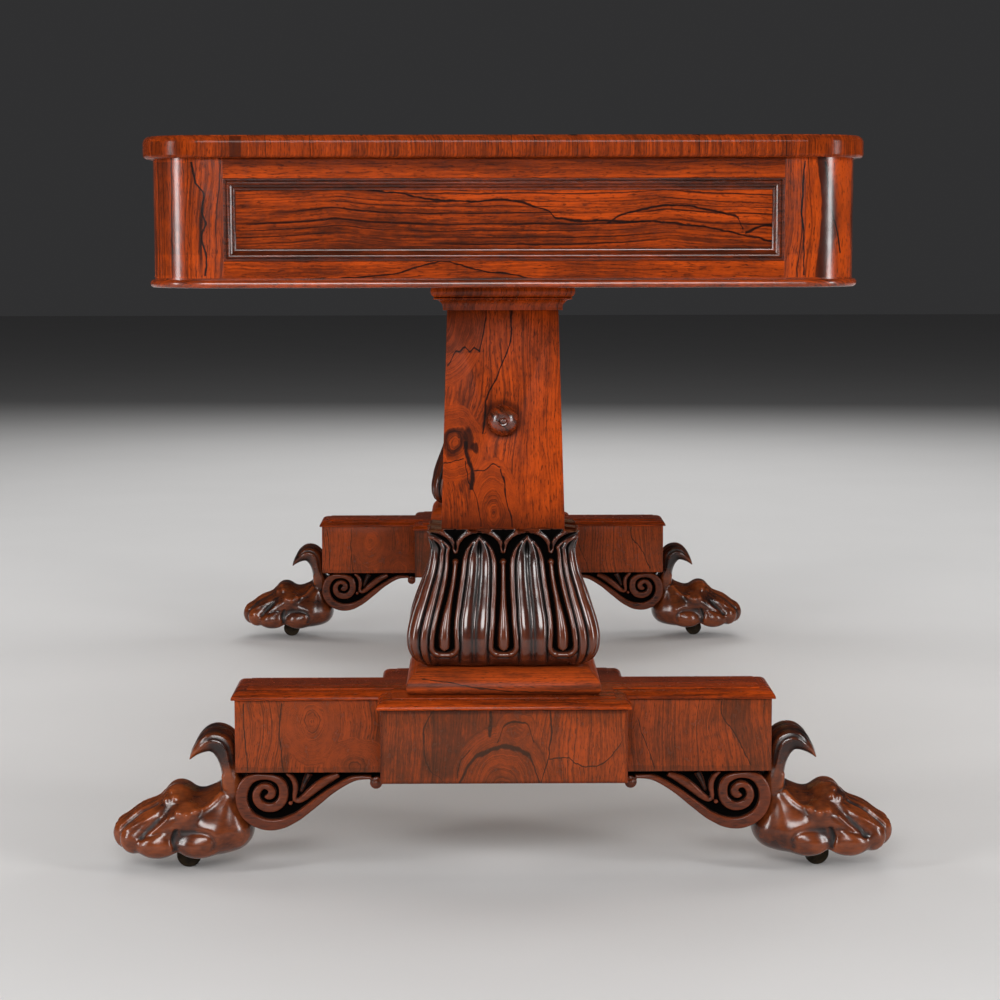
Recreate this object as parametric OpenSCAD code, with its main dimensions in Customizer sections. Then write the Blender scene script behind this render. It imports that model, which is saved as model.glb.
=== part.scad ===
// Library table on two end pedestals, in millimetres.
// X runs across the table, Y along it and Z up. The origin is on the floor below the middle of the top.
// The near end is at -Y, the far end at +Y, left at -X and right, the side of the drawers, at +X.

/* [Table top] */
// Length of the top
top_length = 1800; // [1600:10:2200]
// Width of the top
top_width = 680; // [640:2:760]
// Thickness of the top
top_thickness = 21; // [18:0.5:30]
// Radius of the top's corners in plan
top_corner_radius = 60; // [45:1:75]
// How far the top stands out past the frieze
top_overhang = 9.5; // [6:0.5:14]

/* [Frieze] */
// Height of the frieze above its bead
frieze_height = 111; // [100:1:140]
// Width of a corner post, both ways
post_width = 70; // [62:1:85]
// Thickness of the end and side rails
rail_thickness = 22; // [16:1:30]
// Height of the rails above the panels and drawers
upper_rail_height = 18.5; // [14:0.5:24]
// Height of the rails below the panels and drawers
lower_rail_height = 15.5; // [12:0.5:22]
// Width of the stile in the middle of each long side
stile_width = 65; // [50:1:90]
// Depth of the panels below the face of the rails
panel_recess = 7; // [4:0.5:9]
// Thickness of the end panels and dummy fronts
panel_thickness = 12; // [8:1:13]
// Width of the moulding round a panel
moulding_width = 11; // [8:0.5:15]
// Height of the bead under the frieze
bead_height = 9; // [7:0.5:12]
// How far the bead stands out past the frieze
bead_projection = 4.5; // [2:0.5:6]
// Depth of the bead's strip, front to back
bead_depth = 20; // [15:1:24]

/* [Drawers] */
// Length of a drawer's sides from the front backwards
drawer_depth = 470; // [400:10:500]
// Thickness of a drawer's sides and back
lining_thickness = 10; // [7:1:14]
// Thickness of a drawer's bottom
drawer_bottom_thickness = 6; // [4:1:9]
// Gap between a drawer's sides and the ledge of its runners
drawer_slip = 0.2; // [0.1:0.1:0.5]
// Height of a drawer's bottom above the lower edge of its sides
drawer_bottom_lift = 6; // [4:1:12]
// Gap round a drawer front in its opening
drawer_gap = 1; // [0.5:0.25:2]
// Radius of a knob
knob_radius = 17; // [13:0.5:21]
// How far a knob stands out
knob_projection = 29; // [24:1:36]
// Width of a runner's ledge under a drawer side
runner_ledge = 22; // [15:1:30]
// Height of a drawer guide above the runner's ledge
guide_height = 34; // [20:1:50]

/* [Columns] */
// Distance of a pedestal's middle in from the end of the top
pedestal_inset = 180; // [160:5:230]
// Height of a capital
capital_height = 25.5; // [22:0.5:34]
// How far a capital stands out past the top of the column
capital_projection = 16; // [12:1:22]
// Height of a column
column_height = 218; // [190:1:260]
// Width of a column at the top
column_top_width = 110; // [95:1:125]
// Width of a column at the foot
column_foot_width = 123; // [105:1:135]
// Depth of a column at the top
column_top_depth = 64; // [54:1:80]
// Depth of a column at the foot
column_foot_depth = 72; // [60:1:85]
// Height of the stretcher's axis above the foot of the column
stretcher_height = 110; // [80:1:150]
// Radius of the boss on the outer face of a column
boss_radius = 15.5; // [13:0.5:20]
// Radius of the stretcher at its ends
stretcher_end_radius = 17; // [14:0.5:22]
// Radius of the stretcher's swelling
stretcher_middle_radius = 23; // [18:0.5:30]
// Radius of the bolt through a column
bolt_radius = 5; // [4:0.5:6]

/* [Lotus block and cushion] */
// Height of a lotus block
lotus_height = 135.5; // [120:0.5:150]
// Width of a lotus block at its bulge
lotus_width = 186; // [165:1:205]
// Depth of a lotus block at its bulge
lotus_depth = 136; // [115:1:150]
// Width of a lotus block at the leaf tips
lotus_tip_width = 150; // [140:1:165]
// Depth of a lotus block at the leaf tips
lotus_tip_depth = 101; // [90:1:110]
// How far the carved leaves stand out
leaf_relief = 3; // [1.5:0.5:5]
// Height of a cushion
cushion_height = 25; // [18:0.5:32]
// Width of a cushion
cushion_width = 193; // [180:1:210]
// Depth of a cushion
cushion_depth = 145; // [130:1:155]

/* [Plinths] */
// Height of a plinth's underside above the floor
plinth_lift = 106; // [98:1:118]
// Height of a plinth below its cap
plinth_height = 74; // [60:1:90]
// Length of a plinth across both arms
plinth_length = 538; // [480:2:580]
// Depth of a plinth's arms
arm_depth = 84; // [70:1:96]
// Width of the middle block
block_width = 243; // [225:1:260]
// Depth of the middle block
block_depth = 190; // [165:1:200]
// Height of the cap
cap_height = 9.5; // [8:0.5:14]
// How far the cap stands out
cap_projection = 3.5; // [2:0.5:6]
// Width of the rounded edge of the cap
cap_ovolo = 15; // [11:1:18]

/* [Brackets and feet] */
// Thickness of a volute bracket
bracket_thickness = 66; // [50:1:70]
// Radius of the outer volute
volute_radius = 26; // [22:0.5:28]
// Radius of the inner curl
curl_radius = 6.5; // [5:0.5:9]
// Depth of the carved groove in the volute
groove_depth = 4; // [2:0.5:7]
// Height of the toes above the floor
toe_lift = 15; // [10:1:18]
// Length of a paw from the end of the arm to the tips of its toes
paw_length = 128; // [120:1:138]
// Width of a paw across its toes
paw_width = 98; // [90:1:110]
// Width of the leaf scroll at the ankle
leaf_width = 60; // [45:1:70]

/* [Castors] */
// Distance of a castor's swivel axis from the end of the arm
castor_reach = 60; // [57:1:64]
// Radius of a castor wheel
wheel_radius = 12.5; // [11:0.5:13]
// Width of a castor wheel
wheel_width = 9; // [7:0.5:11]
// Distance from the swivel axis to the wheel's axle
castor_trail = 8; // [6:0.5:9]
// Radius of the axle
axle_radius = 2.5; // [2:0.25:3.5]
// Radius of the swivel pin
pin_radius = 4; // [3:0.25:5]
// Length of the swivel pin in its socket
pin_length = 16; // [12:1:18]
// Radial clearance of the pin and the axle
running_clearance = 0.06; // [0.02:0.01:0.1]

/* [Hidden] */
$fn = 64;

rosewood = "#8a3a1c";
carved_rosewood = "#4a2013";
moulding_wood = "#5a2412";
lining_wood = "#b98a55";
brass = "#b08a45";
steel = "#8c8c8c";

near = -1;
far = 1;
left = -1;
right = 1;
ends = [near, far];
sides = [left, right];

// Gap that keeps mitred lengths separate pieces
mitre_gap = 0.1;
// Overlap of shapes that make one solid
merge = 0.5;

plinth_top = plinth_lift + plinth_height;
cushion_foot = plinth_top + cap_height;
lotus_foot = cushion_foot + cushion_height;
column_foot = lotus_foot + lotus_height;
capital_foot = column_foot + column_height;
bead_foot = capital_foot + capital_height;
frieze_foot = bead_foot + bead_height;
frieze_top = frieze_foot + frieze_height;
bay_foot = frieze_foot + lower_rail_height;
bay_top = frieze_top - upper_rail_height;

frieze_half_width = top_width / 2 - top_overhang;
frieze_half_length = top_length / 2 - top_overhang;
frieze_corner_radius = top_corner_radius - top_overhang;
post_inner_x = frieze_half_width - post_width;
post_inner_y = frieze_half_length - post_width;
rail_inner_x = frieze_half_width - rail_thickness;
rail_inner_y = frieze_half_length - rail_thickness;
bay_length = post_inner_y - stile_width / 2;
bay_middle = (post_inner_y + stile_width / 2) / 2;

pedestal_y = top_length / 2 - pedestal_inset;
plinth_half_length = plinth_length / 2;
stretcher_z = column_foot + stretcher_height;
castor_x = plinth_half_length + castor_reach;

function arc(centre, radius, from, to, steps = 12) = [
  for (i = [0:steps])
    let (angle = from + (to - from) * i / steps)
    centre + radius * [cos(angle), sin(angle)]
];

function bezier(a, b, c, d, steps = 10) = [
  for (i = [0:steps])
    let (t = i / steps, s = 1 - t)
    s * s * s * a + 3 * s * s * t * b + 3 * s * t * t * c + t * t * t * d
];

// A box between two corners
module bar(low, high) {
  translate(low) cube(high - low);
}

// A plan outline with rounded corners
module rounded_plan(half_width, half_length, radius) {
  union() {
    square([2 * (half_width - radius), 2 * half_length], center = true);
    square([2 * half_width, 2 * (half_length - radius)], center = true);
    for (x = sides, y = ends)
      translate([x * (half_width - radius), y * (half_length - radius)]) circle(radius);
  }
}

// The shape of an outline of half widths against height, on a rectangular plan
module four_sided(width_outline, depth_outline, reach) {
  intersection() {
    rotate([90, 0, 0]) linear_extrude(2 * reach, center = true) mirrored_outline(width_outline);
    rotate([90, 0, 90]) linear_extrude(2 * reach, center = true) mirrored_outline(depth_outline);
  }
}

module mirrored_outline(outline) {
  last = len(outline) - 1;
  polygon(concat(outline, [for (i = [last:-1:0]) [-outline[i].x, outline[i].y]]));
}

// Table top: a board with a rounded edge
top_upper_round = min(7, top_thickness / 2);
top_lower_round = min(3.5, top_thickness / 4);

function top_edge(start) = concat(
  [[start, frieze_top]],
  arc([top_corner_radius - top_lower_round, frieze_top + top_lower_round], top_lower_round, -90, 0, 6),
  arc([top_corner_radius - top_upper_round, frieze_top + top_thickness - top_upper_round],
      top_upper_round, 0, 90, 8),
  [[start, frieze_top + top_thickness]]
);

module table_top() {
  corner_x = top_width / 2 - top_corner_radius;
  corner_y = top_length / 2 - top_corner_radius;
  color(rosewood)
  union() {
    bar([-corner_x - merge, -corner_y - merge, frieze_top],
        [corner_x + merge, corner_y + merge, frieze_top + top_thickness]);
    for (y = ends)
      translate([0, y * corner_y, 0]) rotate([0, 0, y * 90]) rotate([90, 0, 0])
        linear_extrude(2 * corner_x, center = true) polygon(top_edge(0));
    for (x = sides)
      translate([x * corner_x, 0, 0]) rotate([0, 0, x > 0 ? 0 : 180]) rotate([90, 0, 0])
        linear_extrude(2 * corner_y, center = true) polygon(top_edge(0));
    for (x = sides, y = ends)
      translate([x * corner_x, y * corner_y, 0]) rotate([0, 0, corner_turn(x, y)])
        rotate_extrude(angle = 90) polygon(top_edge(0));
  }
}

// Turn that takes the first quarter of the plan to the corner on side x and end y
function corner_turn(x, y) = x > 0 ? (y > 0 ? 0 : 270) : (y > 0 ? 90 : 180);

// Frieze: posts, rails and panels
module corner_posts() {
  color(rosewood)
  for (x = sides, y = ends)
    intersection() {
      translate([0, 0, frieze_foot]) linear_extrude(frieze_height)
        rounded_plan(frieze_half_width, frieze_half_length, frieze_corner_radius);
      translate([x * frieze_half_width, y * frieze_half_length, frieze_foot + frieze_height / 2])
        cube([2 * post_width, 2 * post_width, frieze_height], center = true);
    }
}

module end_rails() {
  color(rosewood)
  for (y = ends) {
    end_rail(y, frieze_foot, bay_foot);
    end_rail(y, bay_top, frieze_top);
  }
}

module end_rail(y, foot, head) {
  middle = y * (frieze_half_length - rail_thickness / 2);
  translate([0, middle, (foot + head) / 2])
    cube([2 * post_inner_x, rail_thickness, head - foot], center = true);
}

module end_panels() {
  middle = frieze_half_length - panel_recess - panel_thickness / 2;
  color(rosewood)
  for (y = ends)
    translate([0, y * middle, (bay_foot + bay_top) / 2])
      cube([2 * post_inner_x, panel_thickness, bay_top - bay_foot], center = true);
}

module side_rails(x) {
  color(rosewood)
  for (span = [[frieze_foot, bay_foot], [bay_top, frieze_top]])
    translate([x * (frieze_half_width - rail_thickness / 2), 0, (span[0] + span[1]) / 2])
      cube([rail_thickness, 2 * post_inner_y, span[1] - span[0]], center = true);
}

module side_stiles() {
  color(rosewood)
  for (x = sides)
    translate([x * (frieze_half_width - rail_thickness / 2), 0, (bay_foot + bay_top) / 2])
      cube([rail_thickness, stile_width, bay_top - bay_foot], center = true);
}

module dummy_fronts() {
  middle = frieze_half_width - panel_recess - panel_thickness / 2;
  color(rosewood)
  for (y = ends)
    difference() {
      translate([left * middle, y * bay_middle, (bay_foot + bay_top) / 2])
        cube([panel_thickness, bay_length, bay_top - bay_foot], center = true);
      for (k = sides)
        translate([left * (middle + panel_thickness / 2), y * bay_middle + k * knob_offset, knob_z])
          rotate([0, 90, 0]) cylinder(r = knob_spigot_radius, h = 2 * knob_spigot, center = true);
    }
}

// Mouldings: the section falls from the face of the rails to the face of the panel
moulding_proud = 1;
moulding_lip = 2;

function moulding_section() = concat(
  [[0, 0], [0, panel_recess + moulding_proud], [moulding_lip, panel_recess + moulding_proud]],
  arc([moulding_width - 2, panel_recess + 0.5], moulding_width - 4, 180, 250, 8),
  [[moulding_width - 1, 1.6], [moulding_width, 1], [moulding_width, 0]]
);

// Four mitred lengths round an opening that lies in the XZ plane, with the moulding towards -Y
module moulding_frame(length, height) {
  for (turn = [0:3]) {
    span = turn % 2 == 0 ? length : height;
    drop = turn % 2 == 0 ? height : length;
    rotate([0, turn * 90, 0])
      intersection() {
        translate([0, 0, -drop / 2]) rotate([0, -90, 0]) mirror([0, 1, 0])
          linear_extrude(span, center = true) polygon(moulding_section());
        translate([0, 0, -drop / 2]) rotate([90, 0, 0]) linear_extrude(3 * panel_recess, center = true)
          polygon([
            [-span / 2 + mitre_gap, 0],
            [span / 2 - mitre_gap, 0],
            [span / 2 - mitre_gap - 2 * moulding_width, 2 * moulding_width],
            [-span / 2 + mitre_gap + 2 * moulding_width, 2 * moulding_width]
          ]);
      }
  }
}

module panel_mouldings() {
  color(moulding_wood) {
    for (y = ends)
      translate([0, y * (frieze_half_length - panel_recess), (bay_foot + bay_top) / 2])
        rotate([0, 0, y > 0 ? 180 : 0]) moulding_frame(2 * post_inner_x, bay_top - bay_foot);
    for (y = ends)
      translate([left * (frieze_half_width - panel_recess), y * bay_middle, (bay_foot + bay_top) / 2])
        rotate([0, 0, -90]) moulding_frame(bay_length, bay_top - bay_foot);
  }
}

// Bead: an end length turns both corners, and a side length lies between them
bead_fillet = 1.5;

function bead_section() =
  let (reach = frieze_corner_radius + bead_projection, round = (bead_height - bead_fillet) / 2)
  concat(
    [[frieze_corner_radius - bead_depth, bead_foot]],
    arc([reach - round, bead_foot + round], round, -90, 90, 12),
    [[frieze_corner_radius, bead_foot + 2 * round], [frieze_corner_radius, frieze_foot]],
    [[frieze_corner_radius - bead_depth, frieze_foot]]
  );

module bead_mouldings() {
  corner_x = frieze_half_width - frieze_corner_radius;
  corner_y = frieze_half_length - frieze_corner_radius;
  color(rosewood) {
    for (y = ends)
      union() {
        translate([0, y * corner_y, 0]) rotate([0, 0, y * 90]) rotate([90, 0, 0])
          linear_extrude(2 * corner_x, center = true) polygon(bead_section());
        for (x = sides)
          translate([x * corner_x, y * corner_y, 0]) rotate([0, 0, corner_turn(x, y)])
            rotate_extrude(angle = 90) polygon(bead_section());
      }
    for (x = sides)
      translate([x * corner_x, 0, 0]) rotate([0, 0, x > 0 ? 0 : 180]) rotate([90, 0, 0])
        linear_extrude(2 * (corner_y - mitre_gap), center = true) polygon(bead_section());
  }
}

// Inside the frieze: bearers over the capitals, and runners with guides for the drawers
runner_top = bay_foot + drawer_gap - drawer_slip;
bearer_top = bay_foot - 3;
bearer_half_depth = column_top_depth / 2 + 2 * capital_projection;
screw_radius = 3;
screw_head_radius = 6;
screw_head_height = 3;
screw_bite = 20;

module bearer_screw_places(y) {
  for (i = sides, j = ends)
    translate([i * column_top_width / 3, y * pedestal_y + j * column_top_depth / 4, bearer_top])
      children();
}

module cross_bearers() {
  color(lining_wood)
  for (y = ends)
    difference() {
      translate([0, y * pedestal_y, (bead_foot + bearer_top) / 2])
        cube([2 * rail_inner_x, 2 * bearer_half_depth, bearer_top - bead_foot], center = true);
      bearer_screw_places(y) screw(0.1);
    }
}

// A countersunk screw that points down from the origin
module screw(clearance) {
  rotate_extrude()
    polygon([
      [0, -screw_bite - (bearer_top - bead_foot)],
      [screw_radius + clearance, -screw_bite - (bearer_top - bead_foot)],
      [screw_radius + clearance, -screw_head_height],
      [screw_head_radius + clearance, 0],
      [0, 0]
    ]);
}

module bearer_screws() {
  color(steel)
  for (y = ends) bearer_screw_places(y) screw(0);
}

module drawer_runners() {
  foot = bead_foot + 4;
  guide_top = runner_top + guide_height;
  guide_gap = drawer_gap / 2;
  color(lining_wood) {
    for (y = ends) {
      low = y > 0 ? post_inner_y - runner_ledge : -rail_inner_y + 2;
      high = y > 0 ? rail_inner_y - 2 : -post_inner_y + runner_ledge;
      guide_low = y > 0 ? post_inner_y - guide_gap : -rail_inner_y + 2;
      guide_high = y > 0 ? rail_inner_y - 2 : -post_inner_y + guide_gap;
      ledge_low = y > 0 ? post_inner_y - runner_ledge : -post_inner_y;
      ledge_high = y > 0 ? post_inner_y : -post_inner_y + runner_ledge;
      union() {
        bar([-post_inner_x, low, foot], [post_inner_x, high, runner_top]);
        bar([-post_inner_x, guide_low, foot], [post_inner_x, guide_high, guide_top]);
        bar([-rail_inner_x, ledge_low, foot], [rail_inner_x, ledge_high, runner_top]);
      }
    }
    union() {
      bar([-rail_inner_x, -stile_width / 2 - runner_ledge, foot],
          [rail_inner_x, stile_width / 2 + runner_ledge, runner_top]);
      bar([-rail_inner_x, -stile_width / 2 - guide_gap, foot],
          [rail_inner_x, stile_width / 2 + guide_gap, guide_top]);
    }
  }
}

// Drawers
drawer_length = bay_length - 2 * drawer_gap;
drawer_height = bay_top - bay_foot - 2 * drawer_gap;
drawer_foot = bay_foot + drawer_gap;
drawer_face = frieze_half_width - panel_recess;
front_thickness = rail_thickness - panel_recess;
drawer_front_back = drawer_face - front_thickness;
lining_height = drawer_height - 8;
knob_z = (bay_foot + bay_top) / 2;
knob_offset = bay_length / 4;
knob_spigot_radius = 6;
knob_spigot = 10;

module drawer_front(y) {
  color(rosewood)
  difference() {
    bar([drawer_front_back, y * bay_middle - drawer_length / 2, drawer_foot],
        [drawer_face, y * bay_middle + drawer_length / 2, drawer_foot + drawer_height]);
    for (k = sides)
      translate([drawer_face, y * bay_middle + k * knob_offset, knob_z]) rotate([0, 90, 0])
        cylinder(r = knob_spigot_radius, h = 2 * knob_spigot, center = true);
  }
}

module drawer_moulding(y) {
  color(moulding_wood)
  translate([drawer_face, y * bay_middle, knob_z]) rotate([0, 0, 90])
    moulding_frame(drawer_length, drawer_height);
}

module drawer_sides(y) {
  color(lining_wood)
  for (k = sides)
    translate([
      drawer_front_back - drawer_depth / 2,
      y * bay_middle + k * (drawer_length - lining_thickness) / 2,
      drawer_foot + lining_height / 2
    ])
      cube([drawer_depth, lining_thickness, lining_height], center = true);
}

module drawer_back(y) {
  inner = drawer_length / 2 - lining_thickness;
  back = drawer_front_back - drawer_depth;
  color(lining_wood)
  bar([back, y * bay_middle - inner, drawer_foot + drawer_bottom_lift + drawer_bottom_thickness],
      [back + lining_thickness, y * bay_middle + inner, drawer_foot + lining_height]);
}

module drawer_bottom(y) {
  inner = drawer_length / 2 - lining_thickness;
  foot = drawer_foot + drawer_bottom_lift;
  color(lining_wood)
  bar([drawer_front_back - drawer_depth, y * bay_middle - inner, foot],
      [drawer_front_back, y * bay_middle + inner, foot + drawer_bottom_thickness]);
}

// A turned knob that points along +X from a face at the origin
module knob() {
  flange = 0.75 * knob_radius;
  flange_height = 3;
  neck = 0.5 * knob_radius;
  hollow = 5;
  round = 7;
  tip = 0.3 * knob_radius;
  rotate([0, 90, 0]) rotate_extrude()
    polygon(concat(
      [[0, -knob_spigot], [knob_spigot_radius, -knob_spigot], [knob_spigot_radius, 0]],
      [[flange, 0], [flange, flange_height]],
      arc([neck + hollow, flange_height + hollow], hollow, 270, 180, 6),
      arc([knob_radius - round, knob_projection - 9], round, -60, 60, 10),
      [[1.5 * tip, knob_projection - 1.5], [tip, knob_projection], [0, knob_projection]]
    ));
}

module drawer_knobs(y) {
  color(moulding_wood)
  for (k = sides) translate([drawer_face, y * bay_middle + k * knob_offset, knob_z]) knob();
}

module dummy_knobs() {
  color(moulding_wood)
  for (y = ends, k = sides)
    translate([-drawer_face, y * bay_middle + k * knob_offset, knob_z]) rotate([0, 0, 180]) knob();
}

// Pedestals
module at_pedestal(y) {
  translate([0, y * pedestal_y, 0]) children();
}

module capital(y) {
  fillet = 4;
  fillet_height = 2;
  quirk = 3;
  hollow = capital_projection - quirk - fillet;
  roll = (capital_height - fillet_height - hollow - 1.5) / 2;
  function outline(half) = concat(
    [[half + fillet, capital_foot], [half + fillet, capital_foot + fillet_height]],
    arc([half + fillet + hollow, capital_foot + fillet_height], hollow, 180, 90, 8),
    [[half + fillet + hollow, bead_foot - 2 * roll]],
    arc([half + capital_projection - roll, bead_foot - roll], roll, -90, 90, 12)
  );
  color(rosewood)
  difference() {
    at_pedestal(y)
      four_sided(outline(column_top_width / 2), outline(column_top_depth / 2), column_top_width);
    bearer_screw_places(y) screw(0.1);
  }
}

seat_depth = 2.5;

module column(y) {
  color(rosewood)
  difference() {
    at_pedestal(y)
      four_sided(
        [[column_foot_width / 2, column_foot], [column_top_width / 2, capital_foot]],
        [[column_foot_depth / 2, column_foot], [column_top_depth / 2, capital_foot]],
        column_foot_width
      );
    translate([0, y * pedestal_y, stretcher_z]) rotate([90, 0, 0])
      cylinder(r = bolt_radius + 0.1, h = 2 * column_foot_depth, center = true);
    translate([0, y * (pedestal_y + seat_plane), stretcher_z]) rotate([-90 * y, 0, 0])
      cylinder(r = boss_radius - 1.9, h = column_foot_depth);
    translate([0, y * (pedestal_y - seat_plane), stretcher_z]) rotate([90 * y, 0, 0])
      cylinder(r = stretcher_end_radius - 1.9, h = column_foot_depth);
  }
}

// Distance from the middle of a column to the flat seats of the boss and the stretcher
column_taper = (column_foot_depth - column_top_depth) / column_height;
column_mid_depth = column_foot_depth - column_taper * stretcher_height;
seat_plane = column_mid_depth / 2 - seat_depth;

// A half ball on a short foot, with a ringed pip
module boss(y) {
  spot = boss_radius - 2;
  pip = 4;
  ball_z = seat_depth + 5;
  tip = ball_z + boss_radius;
  color(rosewood)
  translate([0, y * (pedestal_y + seat_plane), stretcher_z]) rotate([-90 * y, 0, 0])
    difference() {
      rotate_extrude()
        polygon(concat(
          [[0, 0], [spot, 0], [spot, seat_depth + 1.5]],
          arc([0, ball_z], boss_radius, -13, 68, 16),
          [[pip + 1.8, tip - 1.8], [pip + 0.6, tip - 2.4]],
          arc([0, tip - pip], pip, 20, 90, 6)
        ));
      translate([0, 0, -1]) cylinder(r = bolt_head_radius + 0.1, h = bolt_head_height + 2);
    }
}

// Bolt through a column: its head lies in the boss and its shank enters the stretcher
bolt_bite = 45;
bolt_head_radius = bolt_radius + 3;
bolt_head_height = 5;

module stretcher_bolts() {
  color(steel)
  for (y = ends)
    translate([0, y * (pedestal_y + seat_plane), stretcher_z]) rotate([-90 * y, 0, 0])
      union() {
        cylinder(r = bolt_head_radius, h = bolt_head_height);
        translate([0, 0, -2 * seat_plane - bolt_bite])
          cylinder(r = bolt_radius, h = 2 * seat_plane + bolt_bite + merge);
      }
}

// Turned stretcher: a swelling with a ringed ball in the middle, and rings near the ends
module stretcher() {
  half = pedestal_y - seat_plane;
  tip = stretcher_end_radius - 2;
  ring = stretcher_middle_radius;
  slim = stretcher_end_radius - 3.5;
  ball = ring + 5;
  end_ring = 4;
  neck_ring = 6;
  collar = 5;
  collar_place = 64;
  swell_start = 60;
  neck = 52;
  half_outline = concat(
    [[0, half], [tip, half], [tip, half - 4], [stretcher_end_radius, half - 6]],
    arc([stretcher_end_radius, half - 14], end_ring, 90, -90, 8),
    [[slim, half - 26]],
    arc([slim, half - 36], neck_ring, 90, -90, 8),
    [[slim - 1, half - swell_start]],
    bezier([slim - 1, half - swell_start], [slim + 2, half * 0.6],
           [ring, half * 0.5], [ring - 2, collar_place + 8]),
    arc([ring - 2, collar_place], collar, 60, -60, 6),
    [[slim, neck], [slim, neck - 6]],
    arc([0, 0], ball, 62, 0, 12)
  );
  last = len(half_outline) - 1;
  color(rosewood)
  translate([0, 0, stretcher_z]) rotate([90, 0, 0])
    difference() {
      rotate_extrude()
        polygon(concat(half_outline, [for (i = [last:-1:0]) [half_outline[i].x, -half_outline[i].y]]));
      for (y = ends)
        rotate([y > 0 ? 0 : 180, 0, 0]) translate([0, 0, half - bolt_bite - 1])
          cylinder(r = bolt_radius + 0.1, h = bolt_bite + 2);
    }
}

// Lotus block: an ogee outline on a rectangular plan, with two raised leaves on each face
function lotus_outline(bulge, tip, swell = 0) = concat(
  bezier([0.76 * bulge, lotus_foot],
         [1.02 * bulge, lotus_foot],
         [bulge, lotus_foot + 0.12 * lotus_height],
         [bulge + swell, lotus_foot + 0.2 * lotus_height], 6),
  bezier([bulge + swell, lotus_foot + 0.2 * lotus_height],
         [bulge + swell, lotus_foot + 0.45 * lotus_height],
         [tip - 6 + swell, lotus_foot + 0.62 * lotus_height],
         [tip - 6 + swell, lotus_foot + 0.8 * lotus_height], 8),
  [[tip - 3, lotus_foot + 0.93 * lotus_height]],
  [[tip, lotus_foot + 0.96 * lotus_height], [tip - 3, column_foot]]
);

function leaf_outline(half) =
  let (foot = 0.07 * lotus_height, shoulder = 0.45 * lotus_height, tip = 0.96 * lotus_height)
  concat(
    bezier([0, foot], [0.9 * half, foot], [half, 0.2 * lotus_height], [half, shoulder], 6),
    bezier([half, shoulder], [0.95 * half, 0.75 * lotus_height],
           [0.5 * half, 0.88 * lotus_height], [0, tip], 6)
  );

// Raised leaves on the two faces that look along Y, from an inflated block
module leaf_pair(half_face, reach) {
  rotate([90, 0, 0]) linear_extrude(2 * reach, center = true)
    for (k = sides)
      translate([k * leaf_offset * half_face, lotus_foot])
        mirrored_outline(leaf_outline(leaf_share * half_face));
}

// Place and half width of a leaf, as shares of half the face at the tips
leaf_offset = 0.32;
leaf_share = 0.26;

module lotus_block(y) {
  bulge_x = lotus_width / 2 - leaf_relief;
  bulge_y = lotus_depth / 2 - leaf_relief;
  tip_x = lotus_tip_width / 2;
  tip_y = lotus_tip_depth / 2;
  color(carved_rosewood)
  at_pedestal(y)
    union() {
      four_sided(lotus_outline(bulge_x, tip_x), lotus_outline(bulge_y, tip_y), lotus_width);
      intersection() {
        four_sided(lotus_outline(bulge_x, tip_x), lotus_outline(bulge_y, tip_y, leaf_relief), lotus_width);
        leaf_pair(tip_x, lotus_width);
      }
      intersection() {
        four_sided(lotus_outline(bulge_x, tip_x, leaf_relief), lotus_outline(bulge_y, tip_y), lotus_width);
        rotate([0, 0, 90]) leaf_pair(tip_y, lotus_width);
      }
    }
}

module cushion(y) {
  round = 0.45 * cushion_height;
  function outline(half) = concat(
    [[half - 2, cushion_foot]],
    arc([half - 5, cushion_foot + 6], 5, -45, 0, 4),
    arc([half - round, lotus_foot - 2 - round], round, 0, 90, 8),
    [[half - round - 1, lotus_foot]]
  );
  color(rosewood)
  at_pedestal(y)
    four_sided(outline(cushion_width / 2), outline(cushion_depth / 2), cushion_width);
}

// Plinth: a middle block and two arms under a cap with a rounded edge
module plinth_block(y) {
  color(rosewood)
  at_pedestal(y)
    translate([0, 0, (plinth_lift + plinth_top) / 2])
      cube([block_width, block_depth, plinth_height], center = true);
}

module plinth_arms(y) {
  arm_length = plinth_half_length - block_width / 2;
  color(rosewood)
  at_pedestal(y)
    for (x = sides)
      translate([x * (block_width / 2 + arm_length / 2), 0, (plinth_lift + plinth_top) / 2])
        cube([arm_length, arm_depth, plinth_height], center = true);
}

function cap_outline(half) =
  let (reach = half + cap_projection, step = 1.2)
  concat(
    [[half, plinth_top], [reach, plinth_top], [reach, plinth_top + 1]],
    bezier([reach, plinth_top + 1], [reach, plinth_top + 0.6 * cap_height],
           [reach - 0.4 * cap_ovolo, cushion_foot - step], [reach - cap_ovolo, cushion_foot - step], 8),
    [[reach - cap_ovolo, cushion_foot]]
  );

module plinth_cap(y) {
  color(rosewood)
  at_pedestal(y)
    union() {
      four_sided(cap_outline(plinth_half_length), cap_outline(arm_depth / 2), plinth_length);
      four_sided(cap_outline(block_width / 2), cap_outline(block_depth / 2), plinth_length);
    }
}

// Volute bracket under an arm, drawn for the side +X
volute_centre = [plinth_half_length - volute_radius, plinth_lift - volute_radius - 6];
curl_centre = [block_width / 2 + curl_radius, plinth_lift - curl_radius - 7];
strap_top = plinth_lift;

function strap_curve() = bezier(
  volute_centre + volute_radius * [-0.45, -0.9],
  volute_centre + volute_radius * [-1.45, -0.75],
  curl_centre + [2.5 * volute_radius, 2.4],
  curl_centre + [curl_radius, 1.5], 12
);

function groove_spiral(turns, outer, inner, from) = [
  for (i = [0:12 * turns])
    let (t = i / (12 * turns), r = outer + (inner - outer) * t, a = from + 360 * turns * t)
    r * [cos(a), sin(a)]
];

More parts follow.
